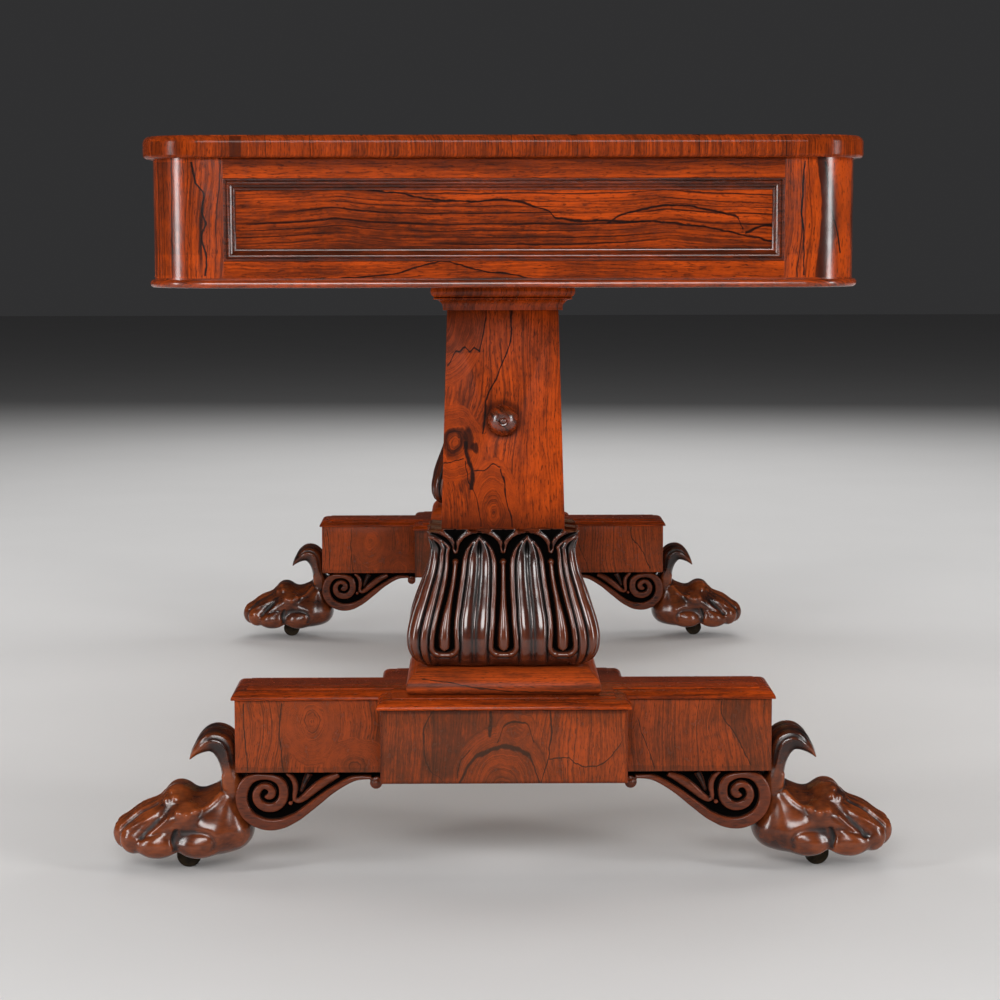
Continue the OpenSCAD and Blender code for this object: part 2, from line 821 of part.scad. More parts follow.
module volute_outline() {
  union() {
    translate(volute_centre) circle(volute_radius);
    translate(curl_centre) circle(curl_radius);
    polygon(concat(
      [[block_width / 2, strap_top], [block_width / 2, curl_centre.y]],
      [for (i = [12:-1:0]) strap_curve()[i]],
      [volute_centre, [plinth_half_length - 3, volute_centre.y + 0.5 * volute_radius]],
      [[plinth_half_length - 3, strap_top]]
    ));
  }
}

module groove() {
  turns = 1.75;
  width = 0.13 * volute_radius;
  outer = groove_spiral(turns, 0.80 * volute_radius, 0.30 * volute_radius, 180);
  inner = groove_spiral(turns, 0.80 * volute_radius - width, 0.30 * volute_radius - width, 180);
  last = len(outer) - 1;
  translate(volute_centre) polygon(concat(outer, [for (i = [last:-1:0]) inner[i]]));
}

module bracket() {
  rotate([90, 0, 0])
    difference() {
      linear_extrude(bracket_thickness, center = true) volute_outline();
      for (k = sides)
        translate([0, 0, k * bracket_thickness / 2])
          linear_extrude(2 * groove_depth, center = true) groove();
    }
}

module volute_brackets(y) {
  color(carved_rosewood)
  at_pedestal(y) {
    bracket();
    mirror([1, 0, 0]) bracket();
  }
}

// Paw foot, drawn for the side +X, with x measured from the end of the arm
pocket_radius = castor_trail + wheel_radius + 2.5;
pocket_top = 2 * wheel_radius + 9.5;
socket_radius = pin_radius + 3;
socket_length = pin_length + 3;
plate_thickness = 2.5;
seat_clearance = 0.1;
leaf_centre = [16, plinth_lift + 12];
hollow_centre = [36, plinth_lift - 5];
toe_radius = 0.155 * paw_width;

leaf_radius = 27;
hollow_radius = 19.3;
leaf_drop = 55;
leaf_reach = 60;

module leaf_scroll() {
  rotate([90, 0, 0]) linear_extrude(leaf_width, center = true)
    difference() {
      intersection() {
        union() {
          translate(leaf_centre) circle(leaf_radius);
          translate([0, leaf_centre.y - leaf_drop]) square([0.75 * leaf_reach, leaf_drop]);
        }
        translate([0, leaf_centre.y - leaf_drop]) square([leaf_reach, leaf_drop + leaf_radius + 5]);
      }
      translate(hollow_centre) circle(hollow_radius);
      translate([hollow_centre.x, hollow_centre.y - 8]) square([leaf_reach / 2, 22]);
    }
}

module toe(across, reach) {
  knuckle = 0.9 * toe_radius;
  hull() {
    translate([reach - toe_radius, across, toe_lift + toe_radius]) sphere(toe_radius, $fn = 24);
    translate([reach - 2.5 * toe_radius, across, toe_lift + 2.55 * toe_radius]) sphere(knuckle, $fn = 24);
  }
}

module paw_solid() {
  across = paw_width / 2 - toe_radius;
  ankle_z = plinth_lift - 32;
  union() {
    toe(-across, paw_length - 14);
    toe(-across / 3, paw_length);
    toe(across / 3, paw_length);
    toe(across, paw_length - 14);
    hull() {
      for (k = ends) {
        translate([paw_length - 62, k * 0.25 * paw_width, toe_lift + 55]) sphere(21, $fn = 24);
        translate([paw_length - 62, k * 0.24 * paw_width, toe_lift + 22]) sphere(22, $fn = 24);
        translate([8, k * 0.16 * paw_width, ankle_z - 24]) sphere(22, $fn = 24);
      }
    }
    hull() {
      for (k = ends) {
        translate([8, k * 0.16 * paw_width, ankle_z - 24]) sphere(22, $fn = 24);
        translate([12, k * 0.16 * paw_width, ankle_z + 8]) sphere(13, $fn = 24);
      }
    }
    leaf_scroll();
  }
}

module paw(x, y) {
  color(carved_rosewood)
  at_pedestal(y) mirror([x > 0 ? 0 : 1, 0, 0])
    difference() {
      translate([plinth_half_length, 0, 0]) paw_solid();
      bar([0, -paw_width, 0], [2 * plinth_half_length, paw_width, toe_lift]);
      bar([0, -paw_width, plinth_lift], [plinth_half_length, paw_width, 2 * plinth_lift]);
      bracket_space();
      translate([castor_x, 0, 0]) cylinder(r = pocket_radius, h = pocket_top);
      translate([castor_x, 0, 0]) cylinder(r = socket_radius, h = pocket_top + socket_length);
      castor_screw_places() castor_screw(0.05);
    }
}

// The room that the bracket takes beside the heel of the paw
module bracket_space() {
  rotate([90, 0, 0]) linear_extrude(2 * paw_width, center = true)
    union() {
      translate(volute_centre) circle(volute_radius);
      polygon([
        [0, 0], [volute_centre.x, 0], [volute_centre.x, volute_centre.y],
        [plinth_half_length - 3, volute_centre.y], [plinth_half_length - 3, plinth_lift], [0, plinth_lift]
      ]);
    }
}

// Castors: a plate with a socket in the foot, a fork that swivels and a wheel
screw_circle = pocket_radius - 5;
castor_screw_radius = 1.5;
castor_screw_length = 12;

module castor_screw_places() {
  for (i = [0:2])
    translate([castor_x, 0, pocket_top - plate_thickness]) rotate([0, 0, 120 * i + 60])
      translate([screw_circle, 0, 0]) children();
}

module castor_screw(clearance) {
  rotate_extrude($fn = 24)
    polygon([
      [0, 0], [3 + clearance, 0], [castor_screw_radius + clearance, 1.5],
      [castor_screw_radius + clearance, castor_screw_length], [0, castor_screw_length]
    ]);
}

module each_castor() {
  for (x = sides, y = ends) at_pedestal(y) mirror([x > 0 ? 0 : 1, 0, 0]) children();
}

module castor_plates() {
  color(brass)
  each_castor()
    difference() {
      union() {
        translate([castor_x, 0, pocket_top - plate_thickness])
          cylinder(r = pocket_radius - seat_clearance, h = plate_thickness);
        translate([castor_x, 0, pocket_top - merge])
          cylinder(r = socket_radius - seat_clearance, h = socket_length + merge - seat_clearance);
      }
      translate([castor_x, 0, 0])
        cylinder(r = pin_radius + running_clearance, h = pocket_top + pin_length + 1);
      castor_screw_places() castor_screw(0.05);
    }
}

module castor_screws() {
  color(steel)
  each_castor() castor_screw_places() castor_screw(0);
}

fork_gap = 0.5;
cheek_thickness = 2;
crown_radius = 10;
crown_thickness = 3;

module castor_fork(x, y) {
  crown_top = pocket_top - plate_thickness - 0.3;
  inner = wheel_width / 2 + fork_gap;
  eye_radius = axle_radius + 2.5;
  color(brass)
  at_pedestal(y) mirror([x > 0 ? 0 : 1, 0, 0]) translate([castor_x, 0, 0])
    union() {
      translate([0, 0, crown_top - merge]) cylinder(r = pin_radius, h = pin_length + merge);
      translate([0, 0, crown_top - crown_thickness]) cylinder(r = crown_radius, h = crown_thickness);
      for (k = sides)
        translate([0, k * (inner + cheek_thickness / 2), 0]) rotate([90, 0, 0])
          linear_extrude(cheek_thickness, center = true)
            union() {
              translate([-castor_trail, wheel_radius]) circle(eye_radius);
              polygon([
                [-castor_trail - eye_radius, wheel_radius],
                [-castor_trail + eye_radius, wheel_radius],
                [crown_radius - 5, crown_top - crown_thickness + merge],
                [-crown_radius + 3, crown_top - crown_thickness + merge]
              ]);
            }
      translate([-castor_trail, 0, wheel_radius]) rotate([90, 0, 0])
        cylinder(r = axle_radius, h = 2 * (inner + cheek_thickness), center = true);
    }
}

module castor_wheel(x, y) {
  round = 1.5;
  color(brass)
  at_pedestal(y) mirror([x > 0 ? 0 : 1, 0, 0])
    translate([castor_x - castor_trail, 0, wheel_radius]) rotate([90, 0, 0]) rotate_extrude()
      polygon(concat(
        [[axle_radius + running_clearance, -wheel_width / 2]],
        arc([wheel_radius - round, -wheel_width / 2 + round], round, -90, 0, 4),
        arc([wheel_radius - round, wheel_width / 2 - round], round, 0, 90, 4),
        [[axle_radius + running_clearance, wheel_width / 2]]
      ));
}

table_top();
corner_posts();
end_rails();
end_panels();
panel_mouldings();
bead_mouldings();
side_rails(left);  // side_rails_left
side_rails(right);  // side_rails_right
side_stiles();
dummy_fronts();
dummy_knobs();
cross_bearers();
bearer_screws();
drawer_runners();
drawer_front(near);  // drawer_front_near
drawer_moulding(near);  // drawer_moulding_near
drawer_sides(near);  // drawer_sides_near
drawer_back(near);  // drawer_back_near
drawer_bottom(near);  // drawer_bottom_near
drawer_knobs(near);  // drawer_knobs_near
drawer_front(far);  // drawer_front_far
drawer_moulding(far);  // drawer_moulding_far
drawer_sides(far);  // drawer_sides_far
drawer_back(far);  // drawer_back_far
drawer_bottom(far);  // drawer_bottom_far
drawer_knobs(far);  // drawer_knobs_far
stretcher();
stretcher_bolts();
capital(near);  // capital_near
column(near);  // column_near
boss(near);  // boss_near
lotus_block(near);  // lotus_block_near
cushion(near);  // cushion_near
plinth_block(near);  // plinth_block_near
plinth_arms(near);  // plinth_arms_near
plinth_cap(near);  // plinth_cap_near
volute_brackets(near);  // volute_brackets_near
paw(left, near);  // paw_left_near
paw(right, near);  // paw_right_near
capital(far);  // capital_far
column(far);  // column_far
boss(far);  // boss_far
lotus_block(far);  // lotus_block_far
cushion(far);  // cushion_far
plinth_block(far);  // plinth_block_far
plinth_arms(far);  // plinth_arms_far
plinth_cap(far);  // plinth_cap_far
volute_brackets(far);  // volute_brackets_far
paw(left, far);  // paw_left_far
paw(right, far);  // paw_right_far
castor_plates();
castor_screws();
castor_fork(left, near);  // castor_fork_left_near
castor_wheel(left, near);  // castor_wheel_left_near
castor_fork(right, near);  // castor_fork_right_near
castor_wheel(right, near);  // castor_wheel_right_near
castor_fork(left, far);  // castor_fork_left_far
castor_wheel(left, far);  // castor_wheel_left_far
castor_fork(right, far);  // castor_fork_right_far
castor_wheel(right, far);  // castor_wheel_right_far
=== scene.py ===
# Library table of figured rosewood on two carved pedestals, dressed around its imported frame, in metres.
import math

import bpy
import numpy as np
from mathutils import Matrix, Vector


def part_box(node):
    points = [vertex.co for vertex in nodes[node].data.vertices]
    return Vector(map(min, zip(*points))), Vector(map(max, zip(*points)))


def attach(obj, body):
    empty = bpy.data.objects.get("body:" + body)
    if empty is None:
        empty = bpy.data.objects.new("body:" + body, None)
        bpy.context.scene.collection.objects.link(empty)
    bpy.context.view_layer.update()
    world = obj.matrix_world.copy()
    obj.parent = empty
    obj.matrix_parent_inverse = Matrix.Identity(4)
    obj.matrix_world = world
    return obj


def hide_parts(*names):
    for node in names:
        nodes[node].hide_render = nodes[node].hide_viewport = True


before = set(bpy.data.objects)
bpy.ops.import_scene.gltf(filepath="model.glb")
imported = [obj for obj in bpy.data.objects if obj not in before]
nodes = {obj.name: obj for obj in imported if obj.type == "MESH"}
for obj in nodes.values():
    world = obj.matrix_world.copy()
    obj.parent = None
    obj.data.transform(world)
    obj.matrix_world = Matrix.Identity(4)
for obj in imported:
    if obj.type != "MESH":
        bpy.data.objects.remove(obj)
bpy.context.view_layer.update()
ends = {"near": -1, "far": 1}
sides = {"left": -1, "right": 1}
mm = 0.001
# painted shade: a dull black laid into the depths of the carving, where shade falls
painted_shade = (0.0022, 0.0018, 0.0017)  # the dull black in the depth of the carving


# Shader graphs
class Value:  # a shader socket that the usual signs of arithmetic work on
    def __init__(self, graph, socket):
        self.graph = graph
        self.socket = socket

    def __add__(self, other):
        return self.graph.maths("ADD", self, other)

    def __sub__(self, other):
        return self.graph.maths("SUBTRACT", self, other)

    def __rsub__(self, other):
        return self.graph.maths("SUBTRACT", other, self)

    def __mul__(self, other):
        return self.graph.maths("MULTIPLY", self, other)

    def __truediv__(self, other):
        return self.graph.maths("DIVIDE", self, other)

    __radd__ = __add__


class Finish:  # the nodes of one material
    def __init__(self, name):
        self.material = bpy.data.materials.new(name)
        self.material.use_nodes = True
        self.tree = self.material.node_tree
        self.tree.nodes.clear()

    def add(self, kind, settings=None, sockets=None):
        node = self.tree.nodes.new("ShaderNode" + kind)
        for key, value in (settings or {}).items():
            if key == "stops":
                self.fillRamp(node.color_ramp, value)
            elif key == "ease":
                node.color_ramp.interpolation = value
            else:
                setattr(node, key, value)
        for key, value in (sockets or {}).items():
            if isinstance(value, Value):
                self.tree.links.new(value.socket, node.inputs[key])
            else:
                node.inputs[key].default_value = value
        return node

    def fillRamp(self, ramp, stops):
        while len(ramp.elements) < len(stops):
            ramp.elements.new(0.5)
        for element, (place, colour) in zip(ramp.elements, stops):
            element.position = place
            element.color = (*colour, 1)

    def out(self, node, socket=0):
        return Value(self, node.outputs[socket])

    def maths(self, operation, *values):
        sockets = dict(enumerate(values))
        return self.out(self.add("Math", {"operation": operation}, sockets))

    def step(self, value, low, high):  # 0 below low, 1 above high, smooth between
        sockets = {"Value": value, "From Min": low, "From Max": high}
        return self.out(self.add("MapRange", {"interpolation_type": "SMOOTHSTEP"}, sockets))

    def vector(self, x, y, z):
        return self.out(self.add("CombineXYZ", None, {0: x, 1: y, 2: z}))

    def place(self):
        place = self.out(self.add("TexCoord"), "Object")
        parts = self.add("SeparateXYZ", None, {0: place})
        return [self.out(parts, i) for i in range(3)]

    def noise(self, vector, detail=2, rough=0.5):
        sockets = {"Vector": vector, "Scale": 1.0, "Detail": detail, "Roughness": rough}
        return self.out(self.add("TexNoise", {"noise_dimensions": "3D"}, sockets))

    def cells(self, parts, scales, detail=2, rough=0.5, shifts=(0, 0, 0)):  # noise scaled by axis
        spot = [p * scale + shift if shift else p * scale for p, scale, shift in zip(parts, scales, shifts)]
        return self.noise(self.vector(*spot), detail, rough)

    def line(self, value):  # noise along one value
        sockets = {"W": value, "Scale": 1.0, "Detail": 1.0}
        return self.out(self.add("TexNoise", {"noise_dimensions": "1D"}, sockets))

    def bump(self, height, strength, distance):
        sockets = {"Strength": strength, "Distance": distance, "Height": height}
        return self.out(self.add("Bump", None, sockets))

    def ramp(self, value, stops):
        return self.out(self.add("ValToRGB", {"stops": stops}, {0: value}))

    def mix(self, factor, first, second):
        first, second = [(*c, 1) if isinstance(c, tuple) else c for c in (first, second)]
        return self.out(self.add("Mix", {"data_type": "RGBA"}, {0: factor, 6: first, 7: second}), 2)

    def finish(self, sockets, shade=None):  # shade: where the surface is dull and dark, from 0 to 1
        shader = self.add("BsdfPrincipled", None, sockets)
        # painted shade: where shade is given, a dull black diffuse is mixed over the polish
        if shade:
            dull = self.add("BsdfDiffuse", None, {"Color": (*painted_shade, 1), "Roughness": 0.6})
            both = self.add("MixShader", None, {0: shade})
            self.tree.links.new(shader.outputs[0], both.inputs[1])
            self.tree.links.new(dull.outputs[0], both.inputs[2])
            shader = both
        output = self.add("OutputMaterial")
        self.tree.links.new(shader.outputs[0], output.inputs[0])
        return self.material


# Rosewood
timber = {
    "light": (0.350, 0.045, 0.0038),
    "warm": (0.225, 0.029, 0.0030),
    "brown": (0.110, 0.0158, 0.0030),
    "deep": (0.030, 0.0066, 0.0028),
    "ink": (0.0058, 0.0026, 0.0019),
    "dust": (0.100, 0.044, 0.022),
}
timberStops = [(0.34, timber["light"]), (0.47, timber["warm"]), (0.60, timber["brown"]),
               (0.76, timber["deep"])]
grainNoise = {  # cells a metre along, across and through the grain, detail and roughness
    "kink": ((26, 60, 60), 3, 0.6),
    "mottle": ((70, 95, 95), 3, 0.7),
    "streaks": ((20, 420, 200), 3, 0.7),
    "pores": ((130, 1000, 1000), 2, 0.6),
}
plainWood = {  # a wood has these where its own row gives nothing else
    "seed": 0, "tilt": 0.45, "wander": 0.05, "bendAlong": 3.0, "kink": 0.005,  # the run of the growth lines
    "lines": 55.0, "jitter": 2.4, "inkWidth": 0.022, "ink": 0.9, "fineLines": 190.0, "fineInk": 0.60,
    "bands": 24.0, "cloudAlong": 5.5, "cloud": 0.60, "streak": 0.62, "mottle": 0.28, "sides": 0.08,
    "pores": 0.75, "darker": 0.0, "dust": 0.0,
    "gloss": 0.06, "coat": 0.0, "rough": 0.16,
    # drawn: hills, pushes and rings in the growth lines, lines along and across, and dark spots
    "peaks": [], "knots": [], "rings": [], "contours": [], "waves": [], "blots": [],
    "soil": [], "halo": [], "foot": [],  # painted shade in corners, round a disc and at a foot
}


def contour(f, along, points):  # a smooth line through points of (along, across), in millimetres
    starts = [mm * p[0] for p in points]
    heights = [mm * p[1] for p in points]
    low, high = min(heights), max(heights)
    span = starts[-1] - starts[0]
    stops = [((s - starts[0]) / span, ((h - low) / (high - low),) * 3) for s, h in zip(starts, heights)]
    ramp = f.add("ValToRGB", {"stops": stops, "ease": "CARDINAL"}, {0: (along - starts[0]) / span})
    inside = f.step(along, starts[0] - mm, starts[0]) * (1 - f.step(along, starts[-1], starts[-1] + mm))
    return f.out(ramp) * (high - low) + low, inside


def oval(place, lengthwise, sideways, longer, wider):  # square of the distance to a middle, in radii
    a = (place[0] - mm * lengthwise) / (mm * longer)
    b = (place[1] - mm * sideways) / (mm * wider)
    return a * a + b * b


def growthField(f, place, along, across, through, kink, look):  # a number that each growth line holds to
    seed = look["seed"]
    field = across + through * look["tilt"] + 0.313 * seed
    slow = (along * look["bendAlong"] + 0.73 * seed, across * 8 + 3.7 * seed, through * 8)
    field = field + (f.noise(f.vector(*slow), 1) - 0.5) * look["wander"] + kink * look["kink"]
    for centre, height, width in look["peaks"]:
        away = place[0] - mm * centre
        reach = f.maths("SQRT", away * away + (0.25 * mm * width) ** 2)
        field = field - f.maths("EXPONENT", reach * (-1 / (mm * width))) * (mm * height)
    for *row, push in look["knots"]:
        field = field + f.maths("EXPONENT", oval(place, *row) * -1) * (mm * push)
    bent = [axis + kink * (12 * mm) for axis in place]
    for *row, scale in look["rings"]:
        away = f.maths("SQRT", oval(bent, *row))
        near = (1 - f.step(away, 0.45, 1.30)) * 0.92
        field = field + near * (away * (mm * scale) + 0.4 - field)
    return field


def drawnLines(f, place, kink, mottle, tone, look):
    marks = 0.0
    vary = 0.35 + mottle * 1.3
    drawn = [(row, place) for row in look["contours"]] + [(row, place[::-1]) for row in look["waves"]]
    for (points, width, side), (lengthwise, sideways) in drawn:
        line, inside = contour(f, lengthwise + kink * (6 * mm), points)
        away = sideways + kink * (8 * mm) - line
        if side:
            tone = tone + f.step(away, mm, -mm) * inside * side
        stroke = 1 - f.step(f.maths("ABSOLUTE", away) / vary, 0.35 * mm * width, 1.1 * mm * width)
        marks = f.maths("MAXIMUM", marks, stroke * inside)
    return marks, tone


def figuredWood(f, along, across, through, place, look):
    seed = look["seed"]
    parts = (along, across, through)
    kink = f.cells(parts, *grainNoise["kink"], (seed, 0, 0)) - 0.5
    field = growthField(f, place, *parts, kink, look)
    # growth lines: sharp and dark on one side, fading on the other
    lines = look["lines"]
    ring = f.maths("FRACT", field * lines + f.line(field * (0.45 * lines) + 3.1 * seed) * look["jitter"])
    edge = f.maths("ABSOLUTE", ring - 0.5)
    inkOne = 1 - f.step(edge, 0.4 * look["inkWidth"], 1.5 * look["inkWidth"])
    fineRing = f.maths("FRACT", field * look["fineLines"] + f.line(field * 60 + seed) * 3 + 7.1)
    inkTwo = 1 - f.step(f.maths("ABSOLUTE", fineRing - 0.5), 0.03, 0.17)
    fade = f.noise(f.vector(along * 6 + seed, field * 34, through * 12 + 1.3), 2)
    slow = f.vector(along * look["cloudAlong"] + seed, field * look["bands"], through * 5)
    cloud = f.noise(slow, 3, 0.6)
    mottle = f.cells(parts, *grainNoise["mottle"], (seed, 0, 0))
    streaks = f.cells((along, field, through), *grainNoise["streaks"])
    pores = f.cells((along, field, through), *grainNoise["pores"])
    tone = 0.5 + (cloud - 0.5) * look["cloud"] + (streaks - 0.5) * look["streak"]
    tone = tone + (mottle - 0.5) * look["mottle"] + (ring - 0.5) * look["sides"] + look["darker"]
    marks, tone = drawnLines(f, place, kink, mottle, tone, look)
    colour = f.ramp(tone, timberStops)
    colour = f.mix(inkTwo * f.step(fade, 0.42, 0.60) * look["fineInk"], colour, timber["deep"])
    colour = f.mix(inkOne * f.step(fade, 0.60, 0.46) * look["ink"], colour, timber["ink"])
    colour = f.mix(f.step(pores, 0.55, 0.66) * look["pores"], colour, timber["deep"])
    colour = f.mix(f.step(mottle, 0.60, 0.80) * 0.40, colour, timber["brown"])
    if look["contours"]:
        colour = f.mix(marks * 0.95, colour, timber["ink"])
    bent = [axis + kink * (16 * mm) for axis in place]
    for *row, core in look["blots"]:
        away = f.maths("SQRT", oval(bent, *row))
        spot = (1 - f.step(away, 0.70, 1.20)) * (f.step(away, core - 0.25, core + 0.1) if core else 1.0)
        colour = f.mix(spot * 0.85, colour, timber["ink"])
    if look["dust"]:
        colour = f.mix(look["dust"], colour, timber["dust"])
    return colour, streaks, mottle


def polish(f, colour, streaks, mottle, look):
    return f.finish({"Base Color": colour, "Roughness": look["rough"] + mottle * 0.18,
                     "Specular IOR Level": look["gloss"], "Coat Weight": look["coat"], "Coat Roughness": 0.06,
                     "Normal": f.bump(streaks * 0.35 + mottle, 0.12, 0.0005)})


def soil(f, colour, look, x, z):  # painted shade; rows of a centre, a half size or radius, the fade's width and depth
    for (cx, cz), (hx, hz), fade, depth in look["soil"]:
        a = (f.maths("ABSOLUTE", x - mm * cx) - mm * hx) / (mm * fade)
        b = (f.maths("ABSOLUTE", z - mm * cz) - mm * hz) / (mm * fade)
        edge = f.step(f.maths("MAXIMUM", a, b), -1.0, 0.15)
        colour = f.mix(edge * depth, colour, timber["ink"])
    for (cx, cz), radius, fade, depth in look["halo"]:
        a, b = x - mm * cx, z - mm * cz
        away = f.maths("SQRT", a * a + b * b)
        colour = f.mix((1 - f.step(away, mm * radius, mm * (radius + fade))) * depth, colour, timber["ink"])
    for level, fade, depth in look["foot"]:
        colour = f.mix((1 - f.step(z, mm * level, mm * (level + fade))) * depth, colour, timber["ink"])
    return colour


def rosewood(name, row):
    look = {**plainWood, **row}
    f = Finish(name)
    x, y, z = f.place()
    along, across, through = {"x": (x, z, y), "y": (y, x, z), "z": (z, x, y)}[look["grain"]]
    place = (x, z) if look["grain"] == "x" else (z, x)
    colour, streaks, mottle = figuredWood(f, along, across, through, place, look)
    return polish(f, soil(f, colour, look, x, z), streaks, mottle, look)


topLook = {
    "board": {"seed": 4, "wander": 0.09, "bendAlong": 1.6, "bands": 22, "cloudAlong": 1.2, "lines": 34,
              "fineLines": 120, "gloss": 0.09, "rough": 0.10},
    "edge": {"seed": 2, "tilt": 1.0, "wander": 0.004, "kink": 0.002, "bands": 95, "lines": 46,
             "fineLines": 300, "cloud": 0.34, "streak": 0.55, "mottle": 0.24, "ink": 0.30, "sides": 0.02,
             "darker": 0.03},
    "patch": (-0.253, -0.243),  # a darker repair in the near edge
    "middle": 0.724,  # height of the middle of the edge
    "joints": (-220.0, -179.0, 7.0, 28.0, 180.0, 260.0),  # veneer joints in the ends' edges, in mm
}


def topFinish(name, look):
    f = Finish(name)
    x, y, z = f.place()
    board, edge = [{**plainWood, **look[part]} for part in ("board", "edge")]
    face, faceStreaks, faceMottle = figuredWood(f, y, x, z, (y, x), board)
    rim = figuredWood(f, z, x, y, (z, x), edge)[0]
    normal = f.add("SeparateXYZ", None, {0: f.out(f.add("NewGeometry"), "Normal")})
    flat = f.step(f.maths("ABSOLUTE", f.out(normal, 2)), 0.80, 0.90)
    low, high = look["patch"]
    patch = f.step(x, low - mm, low) * (1 - f.step(x, high, high + mm)) * (1 - f.step(y, -0.85, -0.84))
    rim = f.mix(patch * 0.80, rim, timber["deep"])
    for place in look["joints"]:
        near = 1 - f.step(f.maths("ABSOLUTE", x - mm * place + (z - look["middle"]) * 0.05), 0.0002, 0.0007)
        rim = f.mix(near * 0.75, rim, timber["ink"])
    return polish(f, f.mix(flat, rim, face), faceStreaks, faceMottle, board)


carvings = {
    # stops: colours of the ridges, faces, slopes and hollows, darkening towards the hollows as painted shade;
    # height rows of painted shade: unshaded height, fully shaded height and depth
    "lotus": {
        "stops": [(0.24, (0.085, 0.019, 0.007)), (0.42, (0.038, 0.010, 0.006)),
                  (0.56, (0.014, 0.006, 0.0045)), (0.68, (0.0045, 0.0030, 0.0026))],
        "cloud": 0.42, "grain": 0.20, "gloss": 0.48, "coat": 0.12, "rough": 0.10, "cut": (0.54, 0.76),
        # painted shade: darker at the block's foot and in the recesses at its top
        "painted_shade": [(0.232, 0.204, 0.20), (0.322, 0.340, 0.22)],
    },
    "volutes": {
        "stops": [(0.24, (0.125, 0.027, 0.010)), (0.50, (0.068, 0.017, 0.008)), (0.62, (0.016, 0.007, 0.005)),
                  (0.72, (0.0035, 0.0026, 0.0026))],
        "cloud": 0.34, "grain": 0.75, "gloss": 0.22, "coat": 0.03, "rough": 0.12, "cut": (0.58, 0.82),
        "painted_shade": [],
    },
    "paws": {
        "stops": [(0.28, (0.185, 0.040, 0.009)), (0.47, (0.082, 0.018, 0.005)), (0.60, (0.020, 0.007, 0.005)),
                  (0.72, (0.0050, 0.0032, 0.0028))],
        "cloud": 0.62, "grain": 0.26, "gloss": 0.44, "coat": 0.06, "rough": 0.15, "cut": (0.62, 0.88),
        # painted shade: darker over the top of the scroll
        "painted_shade": [(0.095, 0.118, 0.13)],
    },
}


def carvedFinish(name, look):
    f = Finish(name)
    place = f.place()
    hollow = f.out(f.add("Attribute", {"attribute_name": "hollow"}), "Fac")
    cloud = f.cells(place, (30, 30, 30), 3, 0.6)
    grain = f.cells(place, (80, 360, 360), 3, 0.6)
    worn = f.cells(place, (110, 110, 110), 3, 0.6)
    # painted shade by height, added to the hollow value
    for unshaded, shaded, depth in look["painted_shade"]:
        hollow = hollow + f.step(place[2], unshaded, shaded) * depth
    # painted shade: the colour darkens towards the hollows, and past the cut levels a dull black takes over
    depth = hollow + (cloud - 0.5) * look["cloud"] + (grain - 0.5) * look["grain"]
    rough = look["rough"] + worn * 0.13 + f.step(hollow, 0.50, 0.75) * 0.50
    shade = f.step(hollow + (worn - 0.5) * 0.12, *look["cut"])
    return f.finish({"Base Color": f.ramp(depth, look["stops"]), "Roughness": rough,
                     "Specular IOR Level": look["gloss"], "Coat Weight": look["coat"], "Coat Roughness": 0.08,
                     "Normal": f.bump(cloud + grain * 0.30 + worn * 0.4, 0.10, 0.0006)}, shade)


liningLook = {
    "stops": [(0.30, (0.56, 0.36, 0.17)), (0.55, (0.42, 0.25, 0.11)), (0.75, (0.27, 0.15, 0.06))],
    "seed": 1.0,
    "rough": 0.50,
}


def liningFinish(name, look):
    f = Finish(name)
    x, y, z = f.place()
    rings = f.noise(f.vector(y * 2, x * 40, z * 40 + look["seed"]), 3, 0.6)
    fibres = f.cells((y, x, z), (40, 900, 900), 2, 0.6)
    return f.finish({"Base Color": f.ramp(rings + (fibres - 0.5) * 0.4, look["stops"]),
                     "Roughness": look["rough"] + fibres * 0.2, "Normal": f.bump(fibres, 0.25, 0.0004)})


metals = {
    # brass near black: its tarnish together with painted shade of the castors under the paws
    "brass": {"bright": (0.034, 0.022, 0.011), "dull": (0.009, 0.007, 0.005), "rough": 0.38},
    "steel": {"bright": (0.34, 0.33, 0.32), "dull": (0.13, 0.12, 0.115), "rough": 0.35},
}


def metalFinish(name, look):
    f = Finish(name)
    place = f.place()
    stain = f.cells(place, (160, 160, 160), 4, 0.6)
    scratch = f.cells(place, (900, 900, 120), 2)
    colour = f.ramp(stain, [(0.35, look["bright"]), (0.65, look["dull"])])
    return f.finish({"Base Color": colour, "Metallic": 0.85, "Roughness": look["rough"] + stain * 0.25,
                     "Normal": f.bump(scratch + stain, 0.15, 0.0003)})


